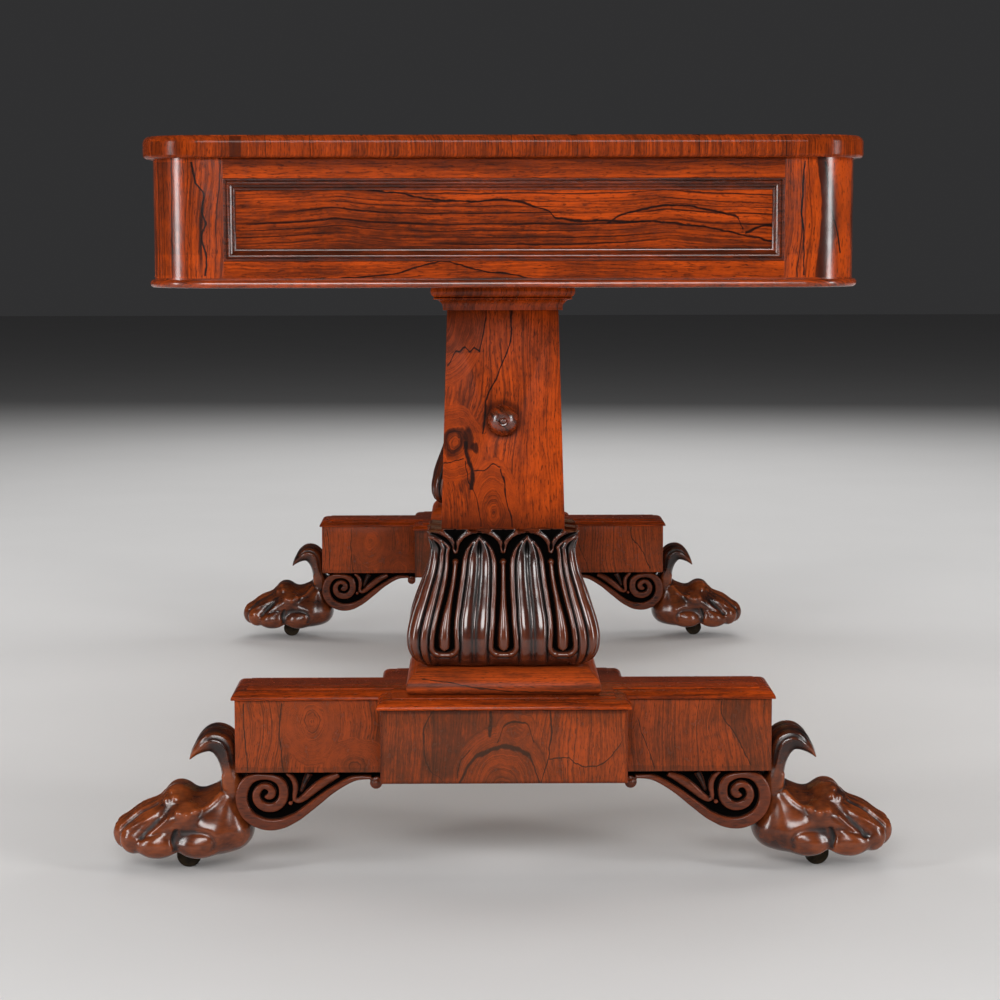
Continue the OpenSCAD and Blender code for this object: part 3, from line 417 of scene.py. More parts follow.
# Places in millimetres on the faces of the near end: (x, z) where the grain runs along x, else (z, x).
# A contour has its points, its width, and how much darker the wood is on its low side.
woods = {
    "posts": {
        "grain": "z", "seed": 1, "tilt": -0.7, "wander": 0.03, "bendAlong": 7, "lines": 60,
        "inkWidth": 0.07, "bands": 16, "cloud": 0.8, "sides": 0.1, "darker": -0.12, "gloss": 0.36,
        "coat": 0.1, "rough": 0.12,
        "contours": [
            ([(605, -278), (627, -276), (642, -280), (654, -276), (665, -280), (682, -278), (691, -285),
              (710, -289)], 1.4, 0.08),
            ([(605, 279), (640, 278), (672, 276), (710, 279)], 1.2, 0.0),
            ([(625, 314), (665, 304), (710, 299)], 1.0, 0.06),
        ],
    },
    "rails": {
        "grain": "x", "seed": 6, "wander": 0.012, "bands": 26, "darker": -0.03, "ink": 0.0, "fineInk": 0.35,
        # painted shadow of the top's overhang along the rail's upper edge
        "soil": [((0, 560), (400, 150), 15, 0.62)],
        "contours": [
            ([(-332, 600), (-190, 601), (-132, 604), (-97, 608), (-78, 613), (-63, 617), (-57, 618),
              (-49, 616), (-23, 610), (5, 606), (30, 601)], 1.1, 0.07),
        ],
    },
    "panels": {
        "grain": "x", "seed": 3, "wander": 0.008, "bendAlong": 4, "bands": 44, "lines": 150,
        "inkWidth": 0.09, "jitter": 0.9, "kink": 0.0035, "sides": 0.06, "fineLines": 260, "fineInk": 0.6,
        "darker": -0.06, "peaks": [(-157, 8, 40), (152, 7, 35)],
        # painted shade round the panel's edges, under its moulding
        "soil": [((0, 657.5), (254.5, 29.5), 4, 0.85)],
        "contours": [
            ([(-262, 689), (-195, 687), (-138, 686), (-110, 682), (-81, 678), (-60, 674), (-31, 673),
              (1, 674), (26, 670), (41, 664), (46, 657), (98, 655), (162, 653), (206, 645), (262, 635)],
              1.4, 0.09),
            ([(96, 653), (105, 659), (123, 665), (152, 670), (177, 667), (206, 662), (218, 657),
              (222, 647)], 1.4, 0.0),
            ([(225, 644), (232, 647), (242, 650), (262, 649)], 1.8, 0.0),
        ],
    },
    "sides": {
        "grain": "y", "seed": 5, "tilt": 1.0, "wander": 0.03, "bands": 24, "cloudAlong": 2,
    },
    "drawers": {
        "grain": "y", "seed": 8, "tilt": 1.0, "wander": 0.05, "bands": 26, "cloudAlong": 2.5, "lines": 60,
    },
    "capitals": {
        "grain": "z", "seed": 7, "tilt": 0.7, "wander": 0.006, "bands": 20, "fineInk": 0.25, "cloud": 0.9,
        "streak": 0.4, "darker": -0.02, "gloss": 0.2,
    },
    "columns": {
        "grain": "z", "seed": 9, "tilt": 0.3, "wander": 0.022, "bendAlong": 5.5, "bands": 12, "lines": 24,
        "mottle": 0.34, "darker": -0.06, "ink": 0.35, "sides": 0.05, "gloss": 0.06, "rough": 0.3,
        "knots": [(440, -38, 40, 26, 12), (480, 8, 45, 22, -8)],
        "rings": [(562, -66, 56, 40, 60), (366, -10, 44, 20, 46), (436, -48, 30, 24, 30)],
        "blots": [(438, -50, 14.5, 9.5, 0.62), (440, -35, 12, 7, 0), (432, -27, 6, 5, 0)],
        # painted shade round the boss and at the column's foot
        "halo": [((0, 460), 17, 6, 0.65)], "foot": [(350, 34, 0.6)],
        "contours": [
            ([(447, -19), (456, -18), (466, -17), (480, -16), (496, -9), (513, -2), (532, 6), (549, 9),
              (568, 9)], 1.1, 0.05),
            ([(353, -23), (381, -26), (396, -33), (408, -36), (418, -38)], 0.8, 0.0),
            ([(353, 9), (378, 3), (400, 1), (411, -2)], 0.9, 0.04),
            ([(526, -24), (534, -22), (557, -17), (568, -16)], 1.0, 0.06),
            ([(390, -32), (403, -30), (413, -32), (424, -36), (437, -38)], 3.0, 0.0),
        ],
        "waves": [
            ([(-55, 513), (-51, 519), (-47, 527), (-42, 528), (-37, 532), (-33, 527), (-29, 530),
              (-24, 527)], 1.6, 0.0),
            ([(-29, 409), (-16, 411), (-10, 416), (-3, 413)], 0.9, 0.0),
            ([(-60, 417), (-40, 420)], 0.8, 0.0),
        ],
    },
    "cushions": {
        "grain": "x", "seed": 11, "wander": 0.01, "bands": 14, "darker": -0.1, "gloss": 0.08, "rough": 0.28,
        # painted shade along the cushion's foot
        "dust": 0.15, "ink": 0.0, "mottle": 0.3, "foot": [(188, 9, 0.8)],
        "contours": [
            ([(-80, 206), (-48, 201), (-4, 195), (58, 193)], 0.8, 0.0),
        ],
    },
    "blocks": {
        "grain": "z", "seed": 12, "tilt": 0.5, "wander": 0.03, "bendAlong": 9, "bands": 9, "lines": 24,
        "mottle": 0.4, "darker": 0.0, "gloss": 0.15, "sides": 0.04, "dust": 0.3, "ink": 0.5,
        # painted shade at the edges of the block's face
        "rings": [(100, -2, 52, 40, 52), (160, 11, 15, 15, 20)], "soil": [((0, 142), (120, 35), 3, 0.5)],
        "contours": [
            ([(109, -59), (116, -70), (128, -76), (147, -78), (162, -78), (178, -70)], 0.9, 0.0),
            ([(112, -46), (131, -41), (140, -33)], 0.8, 0.04),
            ([(107, 37), (131, 44), (143, 45), (162, 46), (178, 45)], 1.0, 0.03),
            ([(153, -14), (178, -13)], 2.0, 0.0),
        ],
        "waves": [
            ([(-44, 107), (-37, 121), (-29, 132), (-14, 139), (0, 143), (15, 139), (26, 131), (31, 118),
              (35, 107)], 3.4, 0.0),
            ([(-6, 148), (-1, 162), (7, 168), (16, 168), (23, 162), (29, 148)], 1.6, 0.0),
            ([(45, 131), (60, 131), (73, 125), (91, 123), (106, 134), (116, 149), (119, 168)], 0.9, 0.04),
        ],
    },
    "arms": {
        "grain": "z", "seed": 14, "tilt": 0.4, "wander": 0.04, "bendAlong": 9, "bands": 14, "lines": 30,
        "mottle": 0.4, "darker": 0.02, "gloss": 0.15, "sides": 0.05, "dust": 0.3, "ink": 0.6,
        "rings": [(158, -192, 36, 24, 40), (112, -148, 24, 26, 34)],
        "contours": [
            ([(108, -257), (140, -259), (176, -260)], 0.7, 0.03),
            ([(108, -221), (146, -224), (176, -222)], 0.8, -0.05),
            ([(109, 151), (135, 142), (160, 134)], 0.7, 0.0),
            ([(112, 248), (122, 243), (138, 236), (150, 228), (162, 220), (178, 219)], 1.1, -0.07),
        ],
    },
    "caps": {
        "grain": "x", "seed": 15, "wander": 0.008, "bands": 24, "darker": -0.02, "ink": 0.2, "gloss": 0.12,
    },
    "turned": {
        "grain": "y", "seed": 16, "tilt": 1.0, "wander": 0.02, "bands": 40, "darker": 0.04,
    },
    "bosses": {
        "grain": "y", "seed": 17, "tilt": 1.0, "wander": 0.004, "bands": 60, "darker": 0.1, "mottle": 0.4,
        "gloss": 0.6, "coat": 0.3, "rough": 0.16,
    },
    "beads": {
        "grain": "x", "seed": 18, "tilt": 1.0, "wander": 0.006, "bands": 40, "darker": 0.04, "gloss": 0.4,
        "coat": 0.2,
    },
    "mouldings": {
        "grain": "x", "seed": 19, "tilt": 1.0, "wander": 0.004, "bands": 6, "darker": 0.16, "sides": 0.0,
        "gloss": 0.4, "rough": 0.12,
    },
}
woodOf = {
    "corner_posts": "posts", "side_stiles": "posts", "end_rails": "rails", "end_panels": "panels",
    "side_rails_left": "sides", "side_rails_right": "sides", "dummy_fronts": "drawers",
    "drawer_front": "drawers", "dummy_knobs": "bosses", "drawer_knobs": "bosses", "boss": "bosses",
    "stretcher": "turned", "bead_mouldings": "beads", "panel_mouldings": "mouldings",
    "drawer_moulding": "mouldings", "capital": "capitals", "column": "columns", "cushion": "cushions",
    "plinth_block": "blocks", "plinth_arms": "arms", "plinth_cap": "caps", "table_top": "top",
    "lotus_block": "lotus", "volute_brackets": "volutes", "paw_left": "paws", "paw_right": "paws",
    "bearer_screws": "steel", "castor_screws": "steel", "stretcher_bolts": "steel",
}

finishes = {name: rosewood("rosewood_" + name, look) for name, look in woods.items()}
finishes["top"] = topFinish("rosewood_top", topLook)
for name, look in carvings.items():
    finishes[name] = carvedFinish("carved_" + name, look)
finishes["lining"] = liningFinish("drawer_lining", liningLook)
for name, look in metals.items():
    finishes[name] = metalFinish("aged_" + name, look)
print("finishes", len(finishes))


def finishFor(node):
    plain = node.removesuffix("_near").removesuffix("_far")
    return woodOf.get(plain, "brass" if plain.startswith("castor") else "lining")


def wear(piece, finish):
    piece.data.materials.clear()
    piece.data.materials.append(finishes[finish])


for name, node in nodes.items():
    wear(node, finishFor(name))
print("frame dressed", len(nodes))


# Modelling helpers, in millimetres
def deselect():
    if bpy.context.object and bpy.context.object.mode != "OBJECT":
        bpy.ops.object.mode_set(mode="OBJECT")
    bpy.ops.object.select_all(action="DESELECT")


def selectOnly(piece):
    deselect()
    piece.select_set(True)
    bpy.context.view_layer.objects.active = piece


def coordinates(piece):
    flat = np.empty(3 * len(piece.data.vertices), np.float32)
    piece.data.vertices.foreach_get("co", flat)
    return flat.reshape(-1, 3).astype(float)


def vertexNormals(piece):
    flat = np.empty(3 * len(piece.data.vertices), np.float32)
    piece.data.vertices.foreach_get("normal", flat)
    return flat.reshape(-1, 3)


def setCoordinates(piece, places):
    piece.data.vertices.foreach_set("co", places.astype(np.float32).ravel())
    piece.data.update()


def closeSkin():  # ends work on a mesh in edit mode, with its normals turned outwards
    bpy.ops.mesh.select_all(action="SELECT")
    bpy.ops.mesh.normals_make_consistent(inside=False)
    bpy.ops.object.mode_set(mode="OBJECT")


def ball(centre, radii, tilt=0):
    deselect()
    bpy.ops.mesh.primitive_uv_sphere_add(segments=40, ring_count=20, radius=1)
    piece = bpy.context.object
    size = Matrix.Diagonal((*[mm * r for r in radii], 1))
    turn = Matrix.Rotation(math.radians(tilt), 4, "Y")
    piece.data.transform(Matrix.Translation(mm * Vector(centre)) @ turn @ size)
    return piece


def limb(points, radii):  # a tapering rod along a smooth line through the points
    deselect()
    bpy.ops.curve.primitive_nurbs_path_add()
    piece = bpy.context.object
    curve = piece.data
    curve.splines.clear()
    line = curve.splines.new("NURBS")
    line.points.add(len(points) - 1)
    for spot, place, radius in zip(line.points, points, radii):
        spot.co = (*[mm * c for c in place], 1)
        spot.radius = radius
    line.order_u = 3
    line.use_endpoint_u = True
    curve.resolution_u = 6
    curve.bevel_depth = mm
    curve.bevel_resolution = 4
    curve.use_fill_caps = True
    selectOnly(piece)
    bpy.ops.object.convert(target="MESH")
    return bpy.context.object


def slab(outline, low, high):  # an outline in X and Z, extruded along Y from low to high
    deselect()
    bpy.ops.mesh.primitive_plane_add(size=mm)
    piece = bpy.context.object
    bpy.ops.object.mode_set(mode="EDIT")
    bpy.ops.mesh.merge(type="CENTER")
    here = (0.0, 0.0)
    for x, z in [*outline, outline[0]]:
        step = (mm * (x - here[0]), 0, mm * (z - here[1]))
        if here == (0.0, 0.0):
            bpy.ops.transform.translate(value=(step[0], mm * low, step[2]))
        else:
            bpy.ops.mesh.extrude_region_move(TRANSFORM_OT_translate={"value": step})
        here = (x, z)
    bpy.ops.mesh.select_all(action="SELECT")
    bpy.ops.mesh.remove_doubles(threshold=0.01 * mm)
    bpy.ops.mesh.edge_face_add()
    bpy.ops.mesh.extrude_region_move(TRANSFORM_OT_translate={"value": (0, mm * (high - low), 0)})
    closeSkin()
    return piece


def wrapped(columns, rows, shape):  # a grid wrapped into a closed skin by shape(around, up), both from 0 to 1
    deselect()
    bpy.ops.mesh.primitive_grid_add(x_subdivisions=columns, y_subdivisions=rows, size=2)
    piece = bpy.context.object
    flat = coordinates(piece)
    setCoordinates(piece, mm * shape((flat[:, 0] + 1) / 2, (flat[:, 1] + 1) / 2))
    bpy.ops.object.mode_set(mode="EDIT")
    bpy.ops.mesh.select_all(action="SELECT")
    bpy.ops.mesh.remove_doubles(threshold=0.002 * mm)
    bpy.ops.mesh.select_all(action="DESELECT")
    bpy.ops.mesh.select_non_manifold()
    bpy.ops.mesh.edge_face_add()
    closeSkin()
    return piece


def join(pieces):
    deselect()
    for piece in pieces:
        piece.select_set(True)
    bpy.context.view_layer.objects.active = pieces[0]
    bpy.ops.object.join()
    return bpy.context.object


def applied(piece, kind, settings):
    selectOnly(piece)
    modifier = piece.modifiers.new("shape", kind)
    for key, value in settings.items():
        setattr(modifier, key, value)
    bpy.ops.object.modifier_apply(modifier=modifier.name)


def bevel(piece, width, angle):  # rounds the edges that turn by more than the angle
    applied(piece, "BEVEL", {"width": mm * width, "segments": 3, "limit_method": "ANGLE",
                             "angle_limit": math.radians(angle)})


def melt(piece, voxel, rounds):  # one skin over all the shapes, eased a little
    applied(piece, "REMESH", {"mode": "VOXEL", "voxel_size": mm * voxel})
    applied(piece, "SMOOTH", {"factor": 0.5, "iterations": rounds})


def eased(places, first, second, rounds, count):
    moved = places.copy()
    degree = np.bincount(first, minlength=count) + np.bincount(second, minlength=count)
    for _ in range(rounds):
        for axis in range(3):
            own = moved[:, axis]
            total = np.bincount(first, own[second], count) + np.bincount(second, own[first], count)
            moved[:, axis] = 0.5 * own + 0.5 * total / np.maximum(degree, 1)
    return moved


def markHollows(piece, fine, broad):  # attribute "hollow": 0 on ridges, 0.5 on flats, 1 in cuts
    mesh = piece.data
    places = coordinates(piece)
    edges = np.empty(2 * len(mesh.edges), np.int32)
    mesh.edges.foreach_get("vertices", edges)
    normals = vertexNormals(piece)
    first, second = edges.reshape(-1, 2).T
    hollow = np.zeros(len(places))
    for rounds, reach, weight in ((14, fine, 0.5), (90, broad, 0.5)):
        smooth = eased(places, first, second, rounds, len(places))
        hollow += weight * ((smooth - places) * normals).sum(1) / (mm * reach)
    hollow = np.clip(0.5 + 0.5 * hollow, 0, 1)
    mesh.attributes.new("hollow", "FLOAT", "POINT").data.foreach_set("value", hollow.astype(np.float32))


def shadeSmooth(piece, angle):
    selectOnly(piece)
    bpy.ops.object.shade_smooth_by_angle(angle=math.radians(angle))


def placed(piece, name, matrix, finish, node):
    piece.name = name
    piece.data.transform(matrix)
    if matrix.determinant() < 0:
        piece.data.flip_normals()
    wear(piece, finish)
    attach(piece, "table")
    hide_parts(node)


def standing(node, sign=1, x=None):  # at the foot of a node's box, and for a sign of -1 the other way round
    low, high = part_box(node)
    foot = ((low.x + high.x) / 2, (low.y + high.y) / 2, low.z) if x is None else (x, (low.y + high.y) / 2, 0)
    return Matrix.Translation(foot) @ Matrix.Diagonal((sign, 1, 1, 1))


def duplicate(piece):
    twin = piece.copy()
    twin.data = piece.data.copy()
    bpy.context.scene.collection.objects.link(twin)
    return twin


def curveThrough(points, count):  # points spaced evenly along a smooth line through the given ones
    p = np.array(points, float)
    p = np.vstack([2 * p[0] - p[1], p, 2 * p[-1] - p[-2]])
    line = []
    for a, b, c, d in zip(p[:-3], p[1:-2], p[2:-1], p[3:]):
        for t in np.linspace(0, 1, 24, endpoint=False):
            line.append(0.5 * (2 * b + (c - a) * t + (2 * a - 5 * b + 4 * c - d) * t ** 2
                               + (3 * b - a - 3 * c + d) * t ** 3))
    line = np.array([*line, p[-2]])
    length = np.concatenate([[0], np.cumsum(np.linalg.norm(np.diff(line, axis=0), axis=1))])
    spots = np.linspace(0, length[-1], count)
    return np.column_stack([np.interp(spots, length, line[:, i]) for i in range(line.shape[1])])


def table(points, height):
    heights, values = zip(*points)
    return np.interp(height, heights, values)


def smoothStep(value, low, high):
    t = np.clip((value - low) / (high - low), 0, 1)
    return t * t * (3 - 2 * t)


def roundedSection(around, wide, deep, corner):  # a point of a rounded rectangle, around from 0 to 1
    corner = np.minimum(corner, 0.98 * np.minimum(wide, deep))
    straight, arc = (wide - corner, deep - corner), corner * math.pi / 2
    lengths = [2 * straight[1], arc, 2 * straight[0], arc] * 2
    spot = (around % 1) * sum(lengths)
    x, y = np.zeros_like(spot), np.zeros_like(spot)
    begin = 0 * spot
    for i, length in enumerate(lengths):
        here = (spot >= begin) & (spot <= begin + length + 1e-9)
        t = np.clip((spot - begin) / np.maximum(length, 1e-9), 0, 1)
        turn = (i // 2) * math.pi / 2
        a, b = (straight if i // 2 % 2 == 0 else straight[::-1])
        if i % 2 == 0:
            px, py = a + corner, (2 * t - 1) * b
        else:
            px, py = a + corner * np.cos(t * math.pi / 2), b + corner * np.sin(t * math.pi / 2)
        x = np.where(here, px * math.cos(turn) - py * math.sin(turn), x)
        y = np.where(here, px * math.sin(turn) + py * math.cos(turn), y)
        begin = begin + length
    return x, y


def ribbon(points, depth, corner):  # a band on edge, through points of x, z and half width
    count = max(8, int(sum(math.dist(a[:2], b[:2]) for a, b in zip(points, points[1:])) / 1.2))
    line = curveThrough(points, count + 1)
    slope = np.gradient(line[:, :2], axis=0)
    slope = slope / np.linalg.norm(slope, axis=1)[:, None]

    def shape(around, up):
        row = np.rint(up * count).astype(int)
        wide = line[row, 2]
        side, across = roundedSection(around, wide, 0 * wide + depth, np.minimum(corner, 0.9 * wide))
        x = line[row, 0] - slope[row, 1] * side
        z = line[row, 1] + slope[row, 0] * side
        return np.column_stack([x, across, z])

    return wrapped(72, count, shape)


# Lotus blocks
lotus = {
    "profile": [(63, 0), (73, 1.2), (82, 6), (88.5, 13), (92.2, 24), (91.6, 38), (87.0, 55), (79.5, 75),
                (72.0, 96), (68.8, 113), (70.0, 125), (73.5, 133), (75.0, 135.5)],  # half width, height
    "depthLess": 25.0,  # how much less the half depth is
    "corner": 15.0,
    "columns": (210, 150),
    "rows": 136,
    "fronts": {"top": 47.5, "foot": 58.5, "leaf": 0.5},
    "flanks": {"top": 25.0, "foot": 33.0, "leaf": 0.0},
    "leafWidths": [(0, 30), (18, 27), (40, 21.5), (60, 20), (80, 19.3), (94, 18.6), (107.6, 17), (116, 14.2),
                   (121, 11.2), (124, 8.8), (128.2, 4.3), (130.5, 1.6), (131.5, 0)],
    "cornerWidths": [(0, 46), (20, 40), (94, 30), (107, 20), (113.4, 17.7), (119, 15.4), (122.5, 13.2),
                     (126, 9.6), (128.5, 6.6), (131, 3.8), (133, 1.8), (135.5, 0.8)],
    "slots": [(0, 9.0), (23, 9.6), (31, 9.3), (48, 7.8), (60, 7.0), (72, 6.5), (92, 6.0), (112, 6.0),
              (117, 5.0), (119.5, 0)],
    "pocketFoot": (23.0, 6.0, 9.6),  # height, corner radius and half width where a pocket starts to round
    "darts": [(0, 0), (18.4, 0), (18.7, 3.4), (19.8, 5.2), (22, 6.2), (30, 6.5), (44, 6.0), (56, 4.8),
              (68, 3.4), (80, 2.9), (101, 2.7), (105.5, 2.4), (107.5, 0)],
    "bead": (104.7, 3.7),
    "tipOutside": [(111.5, 0), (113, 2.6), (115.8, 3.5), (120, 4.4), (124, 6.4), (128.2, 9.8), (130.5, 13),
                   (132.3, 17), (134, 24), (136, 30)],
    "tipInside": [(124.0, 0), (125.7, 1.4), (128, 2.9), (131.5, 7.0), (133.5, 10), (136, 15)],
    "cut": 7.0,
    "rim": [(-1, 0.2), (0, 0.6), (0.8, 1.2), (2.6, 1.6), (4.2, 1.1), (5.2, 0.1), (5.7, -1.0), (6.0, -1.4),
            (7, -0.2), (9, 0.2)],
    "rimWidth": 6,
    "lean": (30, 108),  # heights between which the darts lean from their foot's place to their top's
    "leafRise": 2.2,
    "leafFall": 1.4,  # how much lower a leaf is at its edge
    "secondRow": (111, 113.5),  # heights over which the second row of leaves comes up
    "secondRise": 5.6,
    "curls": (2.6, 1.2),  # how far the tips at the corners and on the faces bend out
    "curlHeights": (120, 135.5),
    "lobes": [(0.00, 0.0), (0.04, -0.3), (0.08, -1.0), (0.14, -0.8), (0.24, 0.0), (0.38, 0.8), (0.54, 1.3),
              (0.68, 1.4), (0.80, 0.9), (0.89, 0.0), (0.95, -0.9), (1.0, -1.4), (1.2, 0.2), (3.0, 0.2)],
    "cornerLobes": [(0.0, 1.8), (0.20, 1.5), (0.33, 0.4), (0.39, -1.0), (0.42, -1.9), (0.46, -0.4),
                    (0.54, 1.0), (0.66, 1.9), (0.80, 1.6), (0.92, 0.3), (0.97, -0.9), (1.0, -1.4), (1.2, 0.2),
                    (3.0, 0.2)],
    "footFade": (1, 14),  # heights over which the leaves' carving comes up, and gets shallower again
    "tipFade": (112, 131, 0.35),
    "floorRise": (112, 130, 2.0),
    "lipRidge": (0.9, 0.9, 121, 126),  # height and width of the ridge on a lip, and where it comes up
    "dimple": (4.0, 1.4, 118, 2.8),  # depth, half width, height and half height of the hole between two tips
    "seam": (2.0, 0.8, 117, 121),  # depth and half width of the line over it, and where it begins
    "hollows": (0.9, 2.6),
}


def roundedBar(away, half, rise, base):  # a half-round bar on a flat, from its distance to the middle
    inside = np.clip(1 - (away / np.maximum(half, 1e-6)) ** 2, 0, 1)
    return np.where(half > 0.3, base + rise * np.sqrt(inside), base)


def softTable(points, value):  # like table, with its corners eased
    return sum(table(points, value + shift) for shift in (-0.02, -0.01, 0, 0.01, 0.02)) / 5


def lotusRelief(x, height, reach, face, look):
    rise = smoothStep(height, *look["lean"])
    dart = face["foot"] + (face["top"] - face["foot"]) * rise
    x = np.abs(x)
    leaf = face["leaf"] * dart
    beyond = x > dart
    side = np.where(beyond, reach - x, np.abs(x - leaf))
    nearest = np.abs(x - dart)
    if face["leaf"]:
        nearest = np.minimum(nearest, x)
    edge = np.where(beyond, reach - dart, dart - leaf) - table(look["slots"], height)
    wide = np.where(beyond, table(look["cornerWidths"], height), table(look["leafWidths"], height))
    half = np.minimum(edge, wide)
    inner = np.where(half > 18, half - look["rimWidth"], 0.667 * half)
    foot, corner, pocket = look["pocketFoot"]
    under = np.hypot(np.maximum(nearest - pocket + corner, 0), np.maximum(foot - height, 0)) - corner
    away = np.where(height < foot, under, half - side)
    rimWidth = look["rimWidth"]
    band = np.where(height < foot, under, away * rimWidth / np.maximum(half - inner, 0.3))
    share = side / np.maximum(inner, 0.4)
    lobes = np.where(beyond, softTable(look["cornerLobes"], share), softTable(look["lobes"], share))
    lobes = np.where(band < rimWidth, table(look["rim"], band), lobes)
    fadeFrom, fadeTo, fade = look["tipFade"]
    lobes = lobes * smoothStep(height, *look["footFade"]) * (1 - fade * smoothStep(height, fadeFrom, fadeTo))
    outwards = np.clip(side / np.maximum(half, 0.5), 0, 1.2)
    leafHeight = look["leafRise"] - look["leafFall"] * outwards ** 2 + lobes
    inside = smoothStep(away, -0.3, 1.2)
    floorFrom, floorTo, floorLift = look["floorRise"]
    floor = -look["cut"] + floorLift * smoothStep(height, floorFrom, floorTo)
    level = floor + (leafHeight - floor) * inside
    dartHalf = table(look["darts"], height)
    bar = roundedBar(nearest, dartHalf, look["cut"] + 2.0, -look["cut"])
    beadHeight, beadRadius = look["bead"]
    beadAway = np.hypot(nearest, height - beadHeight)
    bead = roundedBar(beadAway, 0 * height + beadRadius, look["cut"] + 3.0, -look["cut"])
    level = np.where(inside < 0.6, np.maximum(level, np.maximum(bar, bead)), level)
    # lips of a second row of leaves, between the first
    vee = table(look["tipInside"], height)
    lip = smoothStep(table(look["tipOutside"], height) - nearest, -0.3, 1.5)
    mouth = 1 - 0.85 * smoothStep(vee - nearest, -0.6, 0.8)
    second = floor + look["secondRise"] * lip * mouth * smoothStep(height, *look["secondRow"])
    lift, width, begin, end = look["lipRidge"]
    ridge = np.exp(-((nearest - vee - width) / width) ** 2)
    second = second + lift * lip * ridge * smoothStep(height, begin, end)
    depth, width, middle, tall = look["dimple"]
    second = second - depth * np.exp(-(nearest / width) ** 2 - ((height - middle) / tall) ** 2)
    depth, width, begin, end = look["seam"]
    second = second - depth * np.exp(-(nearest / width) ** 2) * smoothStep(height, begin, end)
    level = np.where(inside < 0.5, np.maximum(level, second), level)
    curl = np.where(beyond, *look["curls"]) * smoothStep(height, *look["curlHeights"])
    return level + curl * np.where(beyond, inside, 0.4 + 0.6 * inside)


def lotusShape(look):
    line = curveThrough(look["profile"], look["rows"] + 1)
    slope = np.gradient(line, axis=0)
    lengths = np.linalg.norm(slope, axis=1)
    front, flank = look["columns"]
    total = 2 * (front + flank)

    def shape(around, up):
        row = np.rint(up * look["rows"]).astype(int)
        wide, height = line[row, 0], line[row, 1]
        outward, drop = slope[row, 1] / lengths[row], -slope[row, 0] / lengths[row]
        deep = wide - look["depthLess"]
        corner = look["corner"] * (0.55 + 0.45 * smoothStep(wide, 68, 92))
        arc = corner * math.pi / 4
        column = np.rint(around * total) % total
        places = np.zeros((len(around), 3))
        starts = [(0, front, 0), (front, flank, 1), (front + flank, front, 2), (2 * front + flank, flank, 3)]
        for start, count, turn in starts:
            here = (column >= start) & (column < start + count)
            across, away = (wide, deep) if turn % 2 == 0 else (deep, wide)
            reach = (across - corner + arc)[here]
            x = ((column[here] - start) / count * 2 - 1) * reach
            straight = (across - corner)[here]
            past = np.clip(np.abs(x) - straight, 0, None) / corner[here]
            side = np.sign(x) * (np.minimum(np.abs(x), straight) + corner[here] * np.sin(past))
            depth = (away - corner)[here] + corner[here] * np.cos(past)
            nx, ny = np.sign(x) * np.sin(past), np.cos(past)
            face = look["fronts"] if turn % 2 == 0 else look["flanks"]
            relief = lotusRelief(x, height[here], reach, face, look)
            relief = relief * smoothStep(height[here], -1.0, 5.0)
            side = side + relief * nx * outward[here]
            depth = depth + relief * ny * outward[here]
            z = np.maximum(height[here] + relief * drop[here], 0)
            angle = turn * math.pi / 2
            places[here, 0] = side * math.cos(angle) + depth * math.sin(angle)
            places[here, 1] = side * math.sin(angle) - depth * math.cos(angle)
            places[here, 2] = z
        return places

    return wrapped(total, look["rows"], shape)


def makeLotus(look):
    carved = lotusShape(look)
    applied(carved, "SMOOTH", {"factor": 0.5, "iterations": 2})
    markHollows(carved, *look["hollows"])
    shadeSmooth(carved, 60)
    for end in ends:
        node = "lotus_block_" + end
        twin = duplicate(carved)
        placed(twin, "carved_lotus_" + end, standing(node), "lotus", node)
    bpy.data.objects.remove(carved)
    print("lotus blocks", len(twin.data.polygons))


makeLotus(lotus)


# Volute brackets, drawn for the right side with x from the middle of the table
volute = {
    "half": 33.0,
    "ground": 25.5,  # half thickness between the bands
    "disc": (243.5, 74.0, 25.0),
    "curl": (128.4, 92.8, 6.2),
    "band": [  # x, z and half width of the strap, and on round the scroll to its eye
        (133, 98.5, 1.8), (151.5, 97, 2.9), (171.5, 86, 3.3), (188, 73.6, 4.0), (205, 60.4, 4.4),
        (213, 55.7, 4.7), (222, 51.8, 5.2), (232, 50, 5.7), (241.5, 50.7, 6.0), (251, 54.6, 6.1),
        (258.5, 60.8, 6.2), (263, 69.5, 6.2), (264.2, 78.5, 6.1), (262.2, 88, 5.9), (257, 95.2, 5.2),
        (249.5, 99, 4.0), (240, 99.6, 3.2), (231.3, 98, 3.6), (224.2, 93.2, 4.4), (221.7, 86, 4.7),
        (222, 78.4, 4.8), (225.1, 72.3, 4.8), (230.4, 68.5, 4.7), (237, 67.7, 4.6), (243.6, 69.8, 4.5),
        (248, 74.6, 4.3), (249.3, 80.4, 4.0), (247.2, 86, 3.6), (242.4, 89.6, 3.1), (236.8, 88.8, 3.4),
        (233.4, 84.6, 3.8), (234, 80.6, 3.9), (237, 79.4, 3.6), (239, 81, 3.2)],
    "leaf": [
        (166, 101, 3.0), (176, 96.5, 4.2), (185, 90.8, 4.6), (193.5, 84, 4.3), (200.5, 78, 3.7),
        (206.4, 74.6, 2.8), (210.4, 75.6, 2.2), (210.6, 80.5, 2.3), (209.8, 86, 2.7), (210.3, 92.5, 2.7),
        (213.3, 98.5, 2.5), (218.5, 103, 1.6)],
    "facet": [(196, 102, 3.4), (200.5, 93, 2.4), (204.4, 83, 1.2)],
    "berry": (214.7, 72.4, 2.3),
    "ribbons": {"band": (0, 2.0), "leaf": (1.2, 3.4), "facet": (4.0, 2.2)},  # how far back, corner radius
    "curlBack": 1.5,
    "bossBack": 2.5,
    "curlBoss": (4.0, 3.4, 4.0),
    "voxel": 0.8,
    "hollows": (1.1, 3.4),
}


